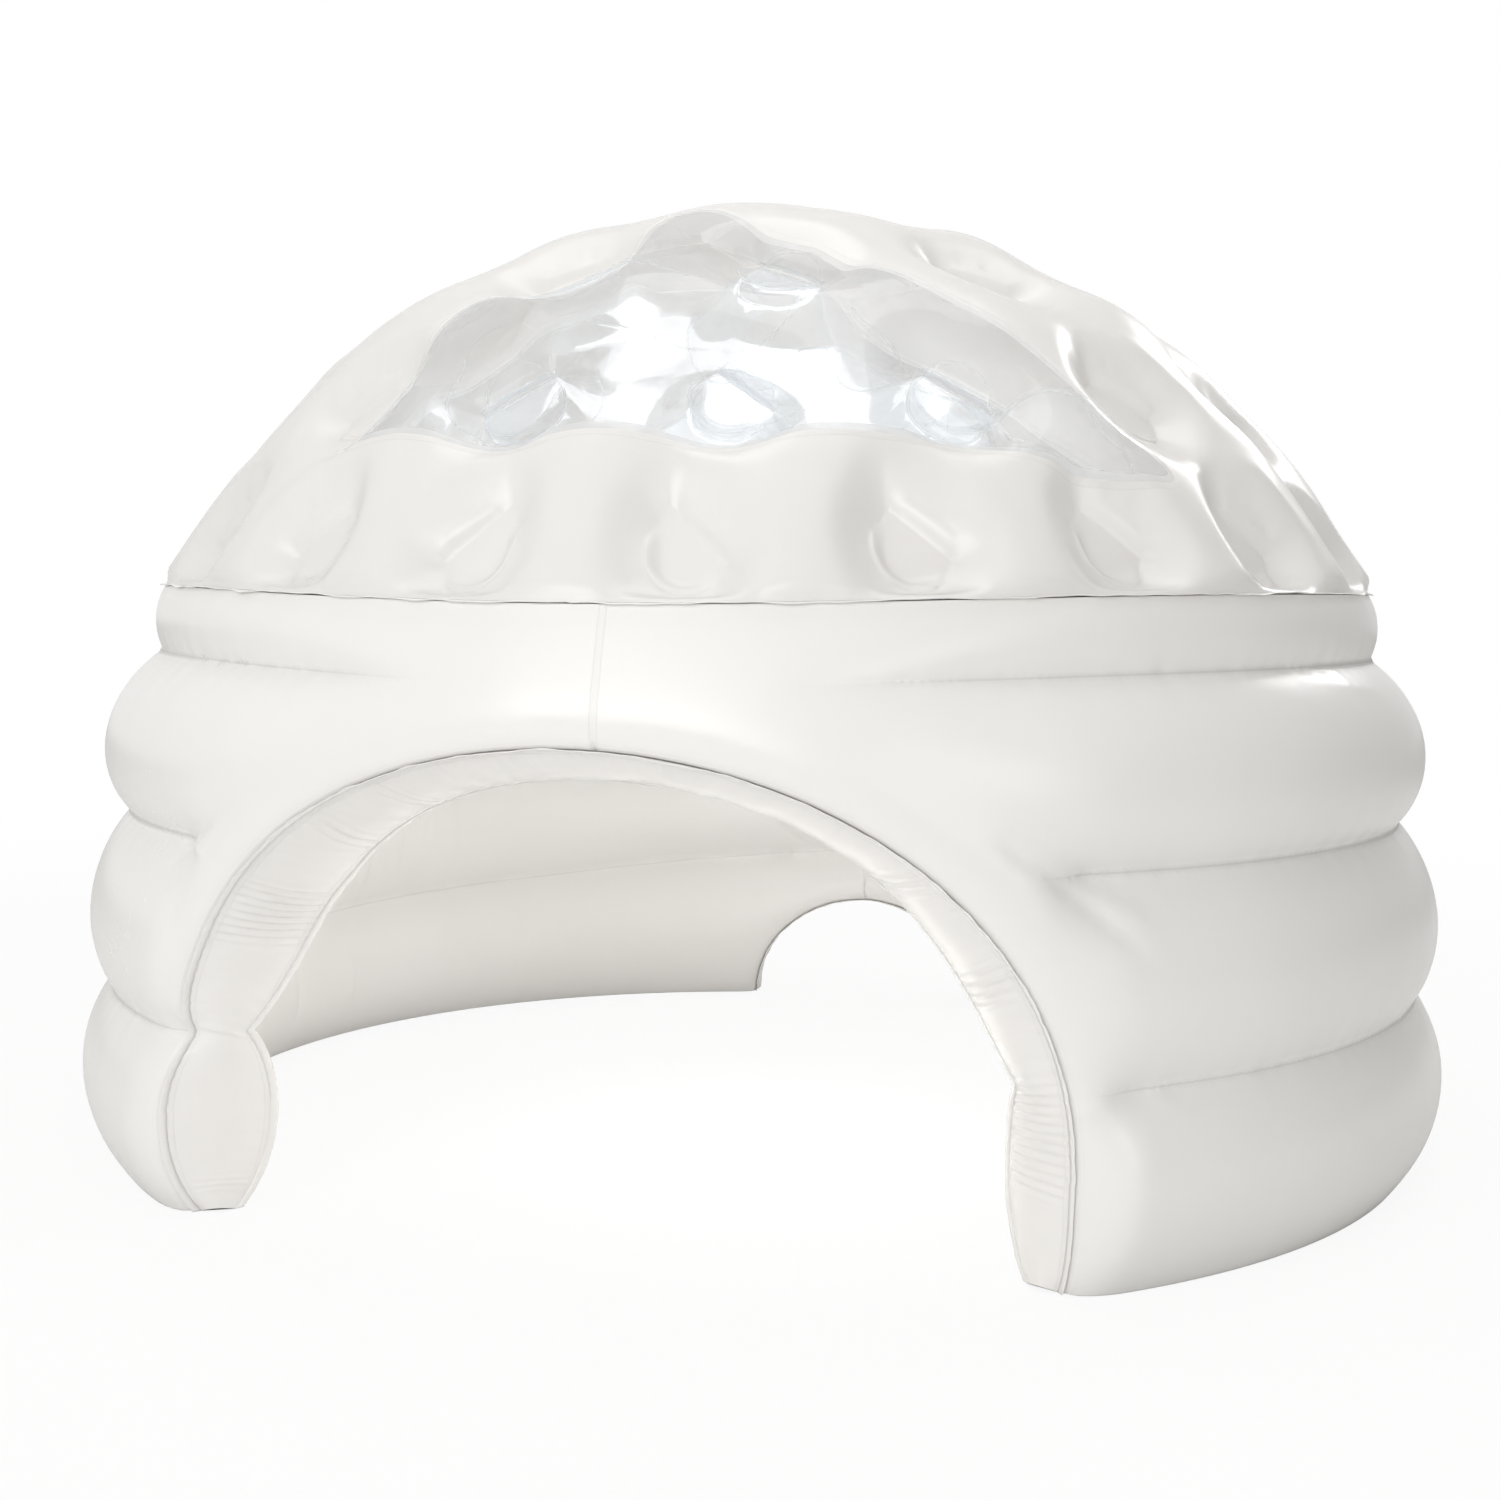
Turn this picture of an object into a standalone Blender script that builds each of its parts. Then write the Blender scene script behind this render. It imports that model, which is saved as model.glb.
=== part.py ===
"""Inflatable igloo tent: a ring wall of welded film, a double-wall dome, a front arch and a low rear arch.

Metres, +Z up, origin on the floor under the middle of the overall size. The front arch faces -Y. The pieces
are built round the tent's round axis and then moved forwards together. Angles on the tent are counted from
the front arch's middle, growing towards +X, so the rear arch is at half a turn.
"""
import math

import bmesh
import bpy
from mathutils import Matrix, Vector
from mathutils.geometry import delaunay_2d_cdt

# Place of the round axis, in front of the origin because the front arch leaves the wall flatter there
AXIS_FORWARD = 0.033

# Film and clearances
FILM = 0.0005
GAP = 0.0003
WELD_FLANGE_WIDTH = 0.012
SEAM_FLANGE_WIDTH = 0.016

# Wall: heights of the rings, the outer skin's foot, how far its creases stand out or in from the foot,
# and the wall's thickness at the foot and the creases, where the webs pinch the two skins together
BOTTOM_RING_HEIGHT = 0.234
MIDDLE_RING_HEIGHT = 0.242
UPPER_RING_HEIGHT = 0.225
COLLAR_HEIGHT = 0.091
OUTER_FOOT_RADIUS = 0.955
LOWER_CREASE_STANDOFF = 0.003
UPPER_CREASE_SETBACK = 0.026
COLLAR_CREASE_SETBACK = 0.070
DOME_SEAM_SETBACK = 0.074
FOOT_THICKNESS = 0.095
LOWER_CREASE_THICKNESS = 0.108
UPPER_CREASE_THICKNESS = 0.094
COLLAR_CREASE_THICKNESS = 0.082
BOTTOM_RING_BULGE = 0.0435
MIDDLE_RING_BULGE = 0.0435
UPPER_RING_BULGE = 0.055
COLLAR_BULGE = 0.012
INNER_RING_BULGE = 0.045
INNER_UPPER_RING_BULGE = 0.032
INNER_COLLAR_BULGE = 0.008

# Facade round the front arch, where the creases fade out
FACADE_BULGE = 0.055
FACADE_SMOOTH_ANGLE = math.radians(30)
FACADE_FADE_ANGLE = math.radians(40)
SEAM_SAG = 0.022
SEAM_SAG_ANGLE = math.radians(40)
SEAM_SAG_RISE = 0.40

# Front arch and rear arch: the outline in the outer skin, and how far the inner skin's lies inside it
FRONT_HALF_ANGLE = math.radians(35.4)
FRONT_INNER_ANGLE_STEP = math.radians(1.2)
FRONT_HEIGHT = 0.622
FRONT_INNER_HEIGHT_STEP = 0.044
FRONT_SHOULDER = 0.13
FRONT_LIP = 0.030
FRONT_LIP_WIDTH = 0.070
FRONT_STEPS = 13
REAR_HALF_ANGLE = math.radians(14.8)
REAR_INNER_ANGLE_STEP = math.radians(0.2)
REAR_HEIGHT = 0.212
REAR_INNER_HEIGHT_STEP = 0.017
REAR_SHOULDER = 0.010
REAR_LIP = 0.018
REAR_LIP_WIDTH = 0.050
REAR_STEPS = 7
STRIP_PUFF = 0.010
WEB_REAR_INSET = 0.006

# Dome: a double skin pinched together at round weld discs. The lowest row keeps clear of the seam, and the
# others lie at shares of its way from the crown
DOME_HEIGHT = 0.553
DIMPLE_DEPTH = 0.040
DISC_RADIUS = 0.050
DOME_TURN = math.radians(7)
LOWEST_ROW_MARGIN = 0.0699
ROW_REACH_SHARES = (1.0000, 0.7677, 0.4836, 0.1833)
ROW_COUNTS = (20, 16, 10, 4)
ROW_START_SHARES = (0.04, 0.15, 0.24, 0.5)
RIM_LIFT = 0.0012
RIM_HOLD = 0.030

# Windows: how far the sill keeps from the lowest row of discs, its ends, and its drop towards the right one.
# The places of the upper edge, from its right corner, and the drop are shares of the sill's reach from the
# crown. The edge swerves round the weld discs
WINDOW_SILL_MARGIN = 0.1484
WINDOW_SILL_TURNS = (math.radians(-40), math.radians(41))
WINDOW_DROP_TURN = math.radians(22)
WINDOW_DROP_SHARE = 0.075
WINDOW_ACROSS_SHARES = (0.80, 0.68, 0.55, 0.50, 0.30, 0.18, 0.03, -0.05, -0.12, -0.18, -0.42, -0.49, -0.68)
WINDOW_REACH_SHARES = (0.74, 0.72, 0.71, 0.66, 0.63, 0.55, 0.46, 0.35, 0.37, 0.55, 0.58, 0.68, 0.73)
SEAM_SWERVE = 0.078

# Spacing of the mesh
COLUMN_ANGLE = math.radians(10)
ROWS_PER_RING = 4
DOME_SPACING = 0.150
OUTLINE_SPACING = 0.110
LIP_SPACINGS = (0.035, 0.078)
POINT_MARGIN = 0.025
DISC_MARGIN = 0.085
SPOT_CLEARING = 0.063
VALVE_SIDES = 14
HOLE_SIDES = 12
AIR_HOLE_SIDES = 8

# Valve: a welded seat, a screw-in stopper with a one-way flap, and a screw cap on a tether
WALL_VALVE_ANGLE = math.radians(155)
DOME_VALVE_ANGLE = math.radians(150)
DOME_VALVE_RISE = 0.088
VALVE_INSET = 0.003
SEAT_FLANGE_RADIUS = 0.0375
SEAT_FLANGE_THICK = 0.0012
NECK_OUTER_RADIUS = 0.0215
NECK_INNER_RADIUS = 0.0185
NECK_DEPTH = 0.0120
NECK_RISE = 0.0060
SPOT_MARGIN = 0.0075
THREAD_CLEARANCE = 0.0008
SEAL_THICK = 0.0012
SEAL_WIDTH = 0.0040
HEAD_RADIUS = 0.0235
HEAD_THICK = 0.0027
BODY_DEPTH = 0.0103
PORT_INNER_RADIUS = 0.0080
PORT_OUTER_RADIUS = 0.0110
PORT_RISE = 0.0080
SPIDER_THICK = 0.0020
SPIDER_HOLE_RADIUS = 0.0021
AIR_HOLE_RADIUS = 0.0019
AIR_HOLE_CIRCLE = 0.0052
AIR_HOLE_COUNT = 4
FLAP_RADIUS = 0.0078
FLAP_THICK = 0.0008
FLAP_TRAVEL = 0.0020
STEM_RADIUS = 0.0016
BULB_RADIUS = 0.0030
BULB_HEIGHT = 0.0015
CAP_RADIUS = 0.0145
CAP_ROOF = 0.0022
CAP_GASKET_THICK = 0.0010
CAP_NECK_RADIUS = 0.0060
CAP_NECK_HEIGHT = 0.0062
KNOB_RADIUS = 0.0112
KNOB_HEIGHT = 0.0040
CAP_FOOT_GAP = 0.0007
TETHER_THICK = 0.0012
TETHER_WIDTH = 0.0050
TETHER_RING_WIDTH = 0.0028
TETHER_PLAY = 0.0008
CUT_OVERRUN = 0.0020

# Sizes worked out from the ones above
LEVELS = [0.0]
for ring_height in (BOTTOM_RING_HEIGHT, MIDDLE_RING_HEIGHT, UPPER_RING_HEIGHT, COLLAR_HEIGHT):
    LEVELS.append(LEVELS[-1] + ring_height)
SEAM_HEIGHT = LEVELS[-1]
FOOT = FILM + GAP
COLLAR_ROWS = ROWS_PER_RING // 2
OUTER_LOWER_CREASE_RADIUS = OUTER_FOOT_RADIUS + LOWER_CREASE_STANDOFF
OUTER_UPPER_CREASE_RADIUS = OUTER_FOOT_RADIUS - UPPER_CREASE_SETBACK
OUTER_COLLAR_CREASE_RADIUS = OUTER_FOOT_RADIUS - COLLAR_CREASE_SETBACK
DOME_SEAM_RADIUS = OUTER_FOOT_RADIUS - DOME_SEAM_SETBACK
INNER_FOOT_RADIUS = OUTER_FOOT_RADIUS - FOOT_THICKNESS
INNER_LOWER_CREASE_RADIUS = OUTER_LOWER_CREASE_RADIUS - LOWER_CREASE_THICKNESS
INNER_UPPER_CREASE_RADIUS = OUTER_UPPER_CREASE_RADIUS - UPPER_CREASE_THICKNESS
INNER_COLLAR_CREASE_RADIUS = OUTER_COLLAR_CREASE_RADIUS - COLLAR_CREASE_THICKNESS
FRONT_INNER_HALF_ANGLE = FRONT_HALF_ANGLE - FRONT_INNER_ANGLE_STEP
FRONT_INNER_HEIGHT = FRONT_HEIGHT - FRONT_INNER_HEIGHT_STEP
REAR_INNER_HALF_ANGLE = REAR_HALF_ANGLE - REAR_INNER_ANGLE_STEP
REAR_INNER_HEIGHT = REAR_HEIGHT - REAR_INNER_HEIGHT_STEP
DOME_RADIUS = (DOME_SEAM_RADIUS ** 2 + DOME_HEIGHT ** 2) / (2 * DOME_HEIGHT)
DOME_CENTRE = SEAM_HEIGHT + DOME_HEIGHT - DOME_RADIUS
DOME_VALVE_HEIGHT = SEAM_HEIGHT + DOME_VALVE_RISE
INNER_DOME_RADIUS = DOME_RADIUS - 2 * DIMPLE_DEPTH - 2 * FILM - GAP
RIM_SLOPE = math.acos((SEAM_HEIGHT + RIM_LIFT - DOME_CENTRE) / DOME_RADIUS)
LOWEST_ROW_REACH = DOME_RADIUS * RIM_SLOPE - LOWEST_ROW_MARGIN
INNER_SEAM_RADIUS = INNER_DOME_RADIUS * math.sin(RIM_SLOPE)
INNER_SEAM_HEIGHT = DOME_CENTRE + INNER_DOME_RADIUS * math.cos(RIM_SLOPE) - RIM_LIFT
INNER_LEVELS = LEVELS[:-1] + [INNER_SEAM_HEIGHT]
OUTER_RADII = (OUTER_FOOT_RADIUS, OUTER_LOWER_CREASE_RADIUS, OUTER_UPPER_CREASE_RADIUS,
               OUTER_COLLAR_CREASE_RADIUS, DOME_SEAM_RADIUS)
OUTER_BULGES = (BOTTOM_RING_BULGE, MIDDLE_RING_BULGE, UPPER_RING_BULGE, COLLAR_BULGE)
INNER_RADII = (INNER_FOOT_RADIUS, INNER_LOWER_CREASE_RADIUS, INNER_UPPER_CREASE_RADIUS,
               INNER_COLLAR_CREASE_RADIUS, INNER_SEAM_RADIUS)
SKIN_TOPS = (SEAM_HEIGHT - FILM - GAP, INNER_SEAM_HEIGHT - FILM - 2 * GAP)
INNER_BULGES = (INNER_RING_BULGE, INNER_RING_BULGE, INNER_UPPER_RING_BULGE, INNER_COLLAR_BULGE)
CHART_RADIUS = OUTER_FOOT_RADIUS
HALF_TURN = math.pi * CHART_RADIUS


# Materials
def material(name, color, roughness, alpha=1.0):
    """A Principled material with one colour."""
    made = bpy.data.materials.new(name)
    made.use_nodes = True
    shader = made.node_tree.nodes["Principled BSDF"]
    shader.inputs["Base Color"].default_value = (*color, 1.0)
    shader.inputs["Roughness"].default_value = roughness
    shader.inputs["Metallic"].default_value = 0.0
    shader.inputs["Alpha"].default_value = alpha
    made.diffuse_color = (*color, alpha)
    return made


def place(name, mesh, finish, seat=None):
    """Links one named piece, on its seat empty if it has one."""
    piece = bpy.data.objects.new(name, mesh)
    bpy.context.collection.objects.link(piece)
    mesh.materials.append(finish)
    mesh.shade_smooth()
    mesh.set_sharp_from_angle(angle=math.radians(30))
    if seat:
        piece.parent = seat
    return piece


def panel(name, front, back, faces, finish):
    """A shaped film panel: two layers of the same triangles, closed along their edges."""
    count = len(front)
    sides = {(start, end) for face in faces for start, end in zip(face, face[1:] + face[:1])}
    rims = [(end, start, count + start, count + end)
            for start, end in sorted(sides) if (end, start) not in sides]
    under = [tuple(count + index for index in reversed(face)) for face in faces]
    mesh = bpy.data.meshes.new(name)
    mesh.from_pydata(front + back, [], faces + under + rims)
    mesh.update()
    return place(name, mesh, finish)


def film(name, points, faces, finish, thickness=FILM, flip=False):
    """A plain strip of film: a sheet of faces made solid on the side away from its normals."""
    mesh = bpy.data.meshes.new(name)
    order = [tuple(reversed(face)) for face in faces] if flip else faces
    mesh.from_pydata(points, [], order)
    mesh.update()
    strip = place(name, mesh, finish)
    solid = strip.modifiers.new("film thickness", "SOLIDIFY")
    solid.thickness = thickness
    solid.offset = -1.0
    solid.use_even_offset = True
    solid.use_rim = True
    return strip


# Wall skins: radius of a film at an angle and a height
def arc_rise(share, length, bulge):
    """Height of a circular arc over its chord, at a share of the chord."""
    half = length / 2
    radius = (half ** 2 + bulge ** 2) / (2 * bulge)
    along = (2 * share - 1) * half
    return math.sqrt(max(radius ** 2 - along ** 2, 0.0)) - (radius - bulge)


def creased_radius(height, radii, bulges, levels, side):
    """Radius of a skin pinched at the ring creases; side is 1 outwards and -1 inwards."""
    level = 0
    while level < len(bulges) - 1 and height > levels[level + 1]:
        level += 1
    length = levels[level + 1] - levels[level]
    share = min(max((height - levels[level]) / length, 0.0), 1.0)
    chord = radii[level] + (radii[level + 1] - radii[level]) * share
    return chord + side * arc_rise(share, length, bulges[level])


def smooth_radius(height, radii, levels, side):
    """Radius of the uncreased skin beside and above the front arch."""
    share = min(max(height / levels[-1], 0.0), 1.0)
    chord = radii[0] + (radii[-1] - radii[0]) * share
    return chord + side * arc_rise(share, levels[-1], FACADE_BULGE)


def ease(share):
    """Smooth step from 0 to 1."""
    share = min(max(share, 0.0), 1.0)
    return share * share * (3 - 2 * share)


def round_shoulder(share):
    """Quarter circle from 0 to 1, as a film rolls over at a seam."""
    share = min(max(share, 0.0), 1.0)
    return math.sqrt(1 - (1 - share) ** 2)


class Arch:
    """An arched opening: its outline on the wall's chart, and how the skins roll in to it."""

    def __init__(self, middle, half_angles, heights, shoulder, lip, lip_width, steps):
        self.middle = middle * CHART_RADIUS
        self.half_widths = [angle * CHART_RADIUS for angle in half_angles]
        self.heights = heights
        self.shoulder = shoulder
        self.lip = lip
        self.lip_width = lip_width
        self.steps = steps

    def point(self, turn, skin, inset=0.0):
        """A point of the outline; turn runs from 0 at one foot to pi at the other."""
        half = self.half_widths[skin] - inset
        rise = self.heights[skin] - inset - self.shoulder
        return (self.middle - half * math.cos(turn), self.shoulder + rise * math.sin(turn))

    def outline(self, skin, inset=0.0):
        """The whole outline from foot to foot."""
        turns = [math.pi * step / (2 * self.steps) for step in range(2 * self.steps + 1)]
        curve = [self.point(turn, skin, inset) for turn in turns]
        half = self.half_widths[skin] - inset
        return [(self.middle - half, FOOT)] + curve + [(self.middle + half, FOOT)]

    def distance(self, u, v, skin):
        """Distance on the chart from a point to the outline."""
        curve = self.outline(skin)
        best = math.inf
        for (u0, v0), (u1, v1) in zip(curve, curve[1:]):
            du = u1 - u0
            dv = v1 - v0
            share = ((u - u0) * du + (v - v0) * dv) / max(du * du + dv * dv, FILM ** 2)
            share = min(max(share, 0.0), 1.0)
            best = min(best, math.hypot(u - u0 - share * du, v - v0 - share * dv))
        return best

    def holds(self, u, v, skin, margin):
        """Whether a point lies in the opening or within the margin of its outline."""
        half = self.half_widths[skin]
        if v > self.shoulder:
            rise = (v - self.shoulder) / (self.heights[skin] - self.shoulder)
            half *= math.sqrt(max(1 - rise * rise, 0.0)) if rise < 1 else 0.0
        inside = abs(u - self.middle) < half and v < self.heights[skin]
        return inside or self.distance(u, v, skin) < margin


FRONT = Arch(0.0, (FRONT_HALF_ANGLE, FRONT_INNER_HALF_ANGLE), (FRONT_HEIGHT, FRONT_INNER_HEIGHT),
             FRONT_SHOULDER, FRONT_LIP, FRONT_LIP_WIDTH, FRONT_STEPS)
REAR = Arch(math.pi, (REAR_HALF_ANGLE, REAR_INNER_HALF_ANGLE), (REAR_HEIGHT, REAR_INNER_HEIGHT),
            REAR_SHOULDER, REAR_LIP, REAR_LIP_WIDTH, REAR_STEPS)
OUTER = 0
INNER = 1


class FlatSpot:
    """A flat round place on a skin, for a valve's welded flange."""

    def __init__(self, angle, height, radius, rise=0.0):
        outward = Vector((math.sin(angle), -math.cos(angle), 0.0))
        self.normal = (outward * math.cos(rise) + Vector((0, 0, 1)) * math.sin(rise)).normalized()
        self.origin = outward * radius + Vector((0, 0, height))
        self.side = Vector((0, 0, 1)).cross(self.normal).normalized()
        self.up = self.normal.cross(self.side)
        self.reach = SEAT_FLANGE_RADIUS + SPOT_MARGIN

    def circle(self, radius, count):
        """Points on a circle in the spot's plane."""
        turns = [2 * math.pi * step / count for step in range(count)]
        return [self.origin + self.side * radius * math.cos(turn) + self.up * radius * math.sin(turn)
                for turn in turns]

    def near(self, point, reach=None):
        """Whether a point lies over the spot."""
        offset = point - self.origin
        offset -= self.normal * offset.dot(self.normal)
        return offset.length < (reach or self.reach) + GAP


WALL_VALVE_HEIGHT = BOTTOM_RING_HEIGHT / 2
WALL_SPOT = FlatSpot(WALL_VALVE_ANGLE, WALL_VALVE_HEIGHT,
                     creased_radius(WALL_VALVE_HEIGHT, OUTER_RADII, OUTER_BULGES, LEVELS, 1) - VALVE_INSET)


def fade(angle):
    """Share of the smooth facade in the wall's shape at an angle from the front."""
    return 1 - ease((abs(angle) - FACADE_SMOOTH_ANGLE) / (FACADE_FADE_ANGLE - FACADE_SMOOTH_ANGLE))


def wall_radius(u, v, skin):
    """Radius of the outer or inner skin at a place on the chart."""
    angle = u / CHART_RADIUS
    radii = (OUTER_RADII, INNER_RADII)[skin]
    bulges = (OUTER_BULGES, INNER_BULGES)[skin]
    levels = (LEVELS, INNER_LEVELS)[skin]
    side = (1, -1)[skin]
    share = fade(angle)
    radius = (1 - share) * creased_radius(v, radii, bulges, levels, side)
    radius += share * smooth_radius(v, radii, levels, side)
    for arch in (FRONT, REAR):
        roll = 1 - round_shoulder(arch.distance(u, v, skin) / arch.lip_width)
        radius -= side * arch.lip * roll
    return radius


def around(angle, radius, height):
    """A point at an angle from the front arch's middle."""
    return Vector((radius * math.sin(angle), -radius * math.cos(angle), height))


def settle(point):
    """Lowers the dome seam over the front arch, where nothing stands under the wall."""
    angle = math.atan2(point.x, -point.y)
    bell = math.exp(-(angle / SEAM_SAG_ANGLE) ** 2)
    rise = 1 - abs(point.z - SEAM_HEIGHT) / SEAM_SAG_RISE
    return Vector((point.x, point.y, point.z - SEAM_SAG * bell * ease(rise)))


def wall_point(u, v, skin, depth=0.0):
    """A place on a wall skin in space, or at a depth in its film."""
    angle = u / CHART_RADIUS
    radius = wall_radius(u, v, skin)
    if skin == OUTER and WALL_SPOT.near(around(angle, radius, v)):
        radius = WALL_SPOT.origin.to_2d().length / math.cos(angle - WALL_VALVE_ANGLE)
    return settle(around(angle, radius - depth if skin == OUTER else radius + depth, v))


# Triangulation of a panel on its flat chart
def triangulate(outline, holes, inner_points):
    """Triangles that fill an outline, with its holes left open."""
    points = []
    loops = []
    for loop in [outline] + holes:
        loops.append(list(range(len(points), len(points) + len(loop))))
        points.extend(loop)
    points.extend(inner_points)
    made = delaunay_2d_cdt([Vector(point) for point in points], [], loops, 1, GAP / 100)
    faces = [face for face, source in zip(made[2], made[5]) if source == [0]]
    used = sorted({index for face in faces for index in face})
    renumbered = {index: place_in_list for place_in_list, index in enumerate(used)}
    chart = [made[0][index] for index in used]
    return chart, [tuple(renumbered[index] for index in face) for face in faces]


def ring_heights(skin):
    """Heights of the chart's rows, with a row on each crease."""
    levels = (LEVELS, INNER_LEVELS)[skin]
    heights = []
    for level, height in enumerate(levels[:-1]):
        rows = COLLAR_ROWS if level == len(levels) - 2 else ROWS_PER_RING
        heights += [height + (levels[level + 1] - height) * row / rows for row in range(rows)]
    return [FOOT] + heights[1:] + [SKIN_TOPS[skin]]


def columns(start, end):
    """Angles of the wall's columns strictly between two angles."""
    first = math.floor(start / COLUMN_ANGLE) + 1
    last = math.ceil(end / COLUMN_ANGLE) - 1
    return [COLUMN_ANGLE * column for column in range(first, last + 1)]


def quarter_outline(arch, skin, towards_rear):
    """Half of an arch's outline, from its top to its foot, at the half of the wall on +X."""
    curve = arch.outline(skin)
    middle = len(curve) // 2
    half = curve[middle:] if towards_rear else list(reversed(curve[:middle + 1]))
    return half


def half_wall_chart(skin):
    """Chart of the skin on the +X side, from the front arch's middle to the rear arch's."""
    heights = ring_heights(skin)
    seam = GAP / 2
    front = quarter_outline(FRONT, skin, True)
    rear = quarter_outline(REAR, skin, False)
    front[0] = (seam, front[0][1])
    rear[0] = (HALF_TURN - seam, rear[0][1])
    foot = [(angle * CHART_RADIUS, FOOT) for angle in columns(front[-1][0] / CHART_RADIUS,
                                                                rear[-1][0] / CHART_RADIUS)]
    top = [(angle * CHART_RADIUS, SKIN_TOPS[skin]) for angle in columns(0.0, math.pi)]
    margin = LIP_SPACINGS[0]
    front_line = [(seam, v) for v in heights if v > front[0][1] + margin]
    rear_line = [(HALF_TURN - seam, v) for v in reversed(heights) if v > rear[0][1] + margin]
    outline = front + foot[1:-1] + list(reversed(rear)) + list(reversed(rear_line))
    outline += list(reversed(top)) + list(reversed(front_line))
    inner = []
    for v in heights[1:-1]:
        for angle in columns(0.0, math.pi):
            u = angle * CHART_RADIUS
            near_arch = any(arch.holds(u, v, skin, LIP_SPACINGS[1] + margin / 2) for arch in (FRONT, REAR))
            near_spot = skin == OUTER and WALL_SPOT.near(around(angle, OUTER_FOOT_RADIUS, v),
                                                         WALL_SPOT.reach + margin / 2)
            if not near_arch and not near_spot:
                inner.append((u, v))
    for arch, towards_rear in ((FRONT, True), (REAR, False)):
        for spacing in LIP_SPACINGS:
            for u, v in offset_curve(arch, skin, towards_rear, spacing):
                if seam + margin < u < HALF_TURN - margin and FOOT + margin < v < SKIN_TOPS[skin] - margin:
                    inner.append((u, v))
    return outline, inner


def offset_curve(arch, skin, towards_rear, spacing):
    """Points beside an arch's outline, at a distance from it."""
    curve = quarter_outline(arch, skin, towards_rear)
    side = 1 if towards_rear else -1
    beside = []
    for (u0, v0), (u1, v1) in zip(curve[::2], curve[1::2]):
        offset = side * spacing / max(math.hypot(u1 - u0, v1 - v0), GAP)
        beside.append(((u0 + u1) / 2 - offset * (v1 - v0), (v0 + v1) / 2 + offset * (u1 - u0)))
    return beside


def spot_loops(spot, chart_of):
    """The hole for a valve's neck and the ring of points round its flange, on a skin's chart."""
    clear_radius = (NECK_OUTER_RADIUS + GAP) / math.cos(math.pi / HOLE_SIDES)
    hole = [chart_of(point) for point in spot.circle(clear_radius, HOLE_SIDES)]
    rim = [chart_of(point) for point in spot.circle(spot.reach, HOLE_SIDES)]
    return hole, rim


def wall_chart_of(point):
    """Chart place of a point on the wall."""
    return (math.atan2(point.x, -point.y) * CHART_RADIUS, point.z)


def wall_skins(white):
    """Outer and inner skins, each in two halves that meet over the arches."""
    for skin, name in ((OUTER, "outer"), (INNER, "inner")):
        outline, inner = half_wall_chart(skin)
        for side, side_name in ((1, "right"), (-1, "left")):
            holes = []
            extra = []
            if skin == OUTER and side == 1:
                hole, extra = spot_loops(WALL_SPOT, wall_chart_of)
                holes = [hole]
            chart, faces = triangulate(outline, holes, inner + extra)
            if (skin == INNER) != (side == -1):
                faces = [tuple(reversed(face)) for face in faces]
            layers = []
            for depth in (0.0, FILM):
                points = [wall_point(u, v, skin, depth) for u, v in chart]
                layers.append([Vector((side * point.x, point.y, point.z)) for point in points])
            panel(f"wall_{name}_skin_{side_name}", *layers, faces, white)


# Flat film rings inside and under the wall
def film_ring(name, stations, heights, finish, thickness=FILM, closed=False):
    """A strip of film round the tent. A station has two angles, then two radii, the inner one first."""
    points = []
    for inner_angle, outer_angle, inner_radius, outer_radius in stations:
        points.append(settle(around(inner_angle, inner_radius, heights[0])))
        points.append(settle(around(outer_angle, outer_radius, heights[1])))
    count = len(stations)
    faces = []
    for step in range(count if closed else count - 1):
        here = 2 * step
        there = 2 * ((step + 1) % count)
        faces.append((here, here + 1, there + 1, there))
    return film(name, points, faces, finish, thickness)


def base_strips(white):
    """The film the wall stands on, joining the feet of the two skins, in a left and a right piece."""
    front = [half / CHART_RADIUS for half in FRONT.half_widths]
    rear = [math.pi - half / CHART_RADIUS for half in REAR.half_widths]
    middle = [(angle, angle) for angle in columns(max(front), min(rear))][1:-1]
    stations = []
    for outer_angle, inner_angle in [front] + middle + [rear]:
        stations.append((inner_angle, outer_angle, wall_radius(inner_angle * CHART_RADIUS, FOOT, INNER),
                         wall_radius(outer_angle * CHART_RADIUS, FOOT, OUTER)))
    film_ring("base_strip_right", stations, (FILM, FILM), white)
    mirrored = [(-inner_angle, -outer_angle, inner, outer)
                for inner_angle, outer_angle, inner, outer in reversed(stations)]
    film_ring("base_strip_left", mirrored, (FILM, FILM), white)


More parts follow.
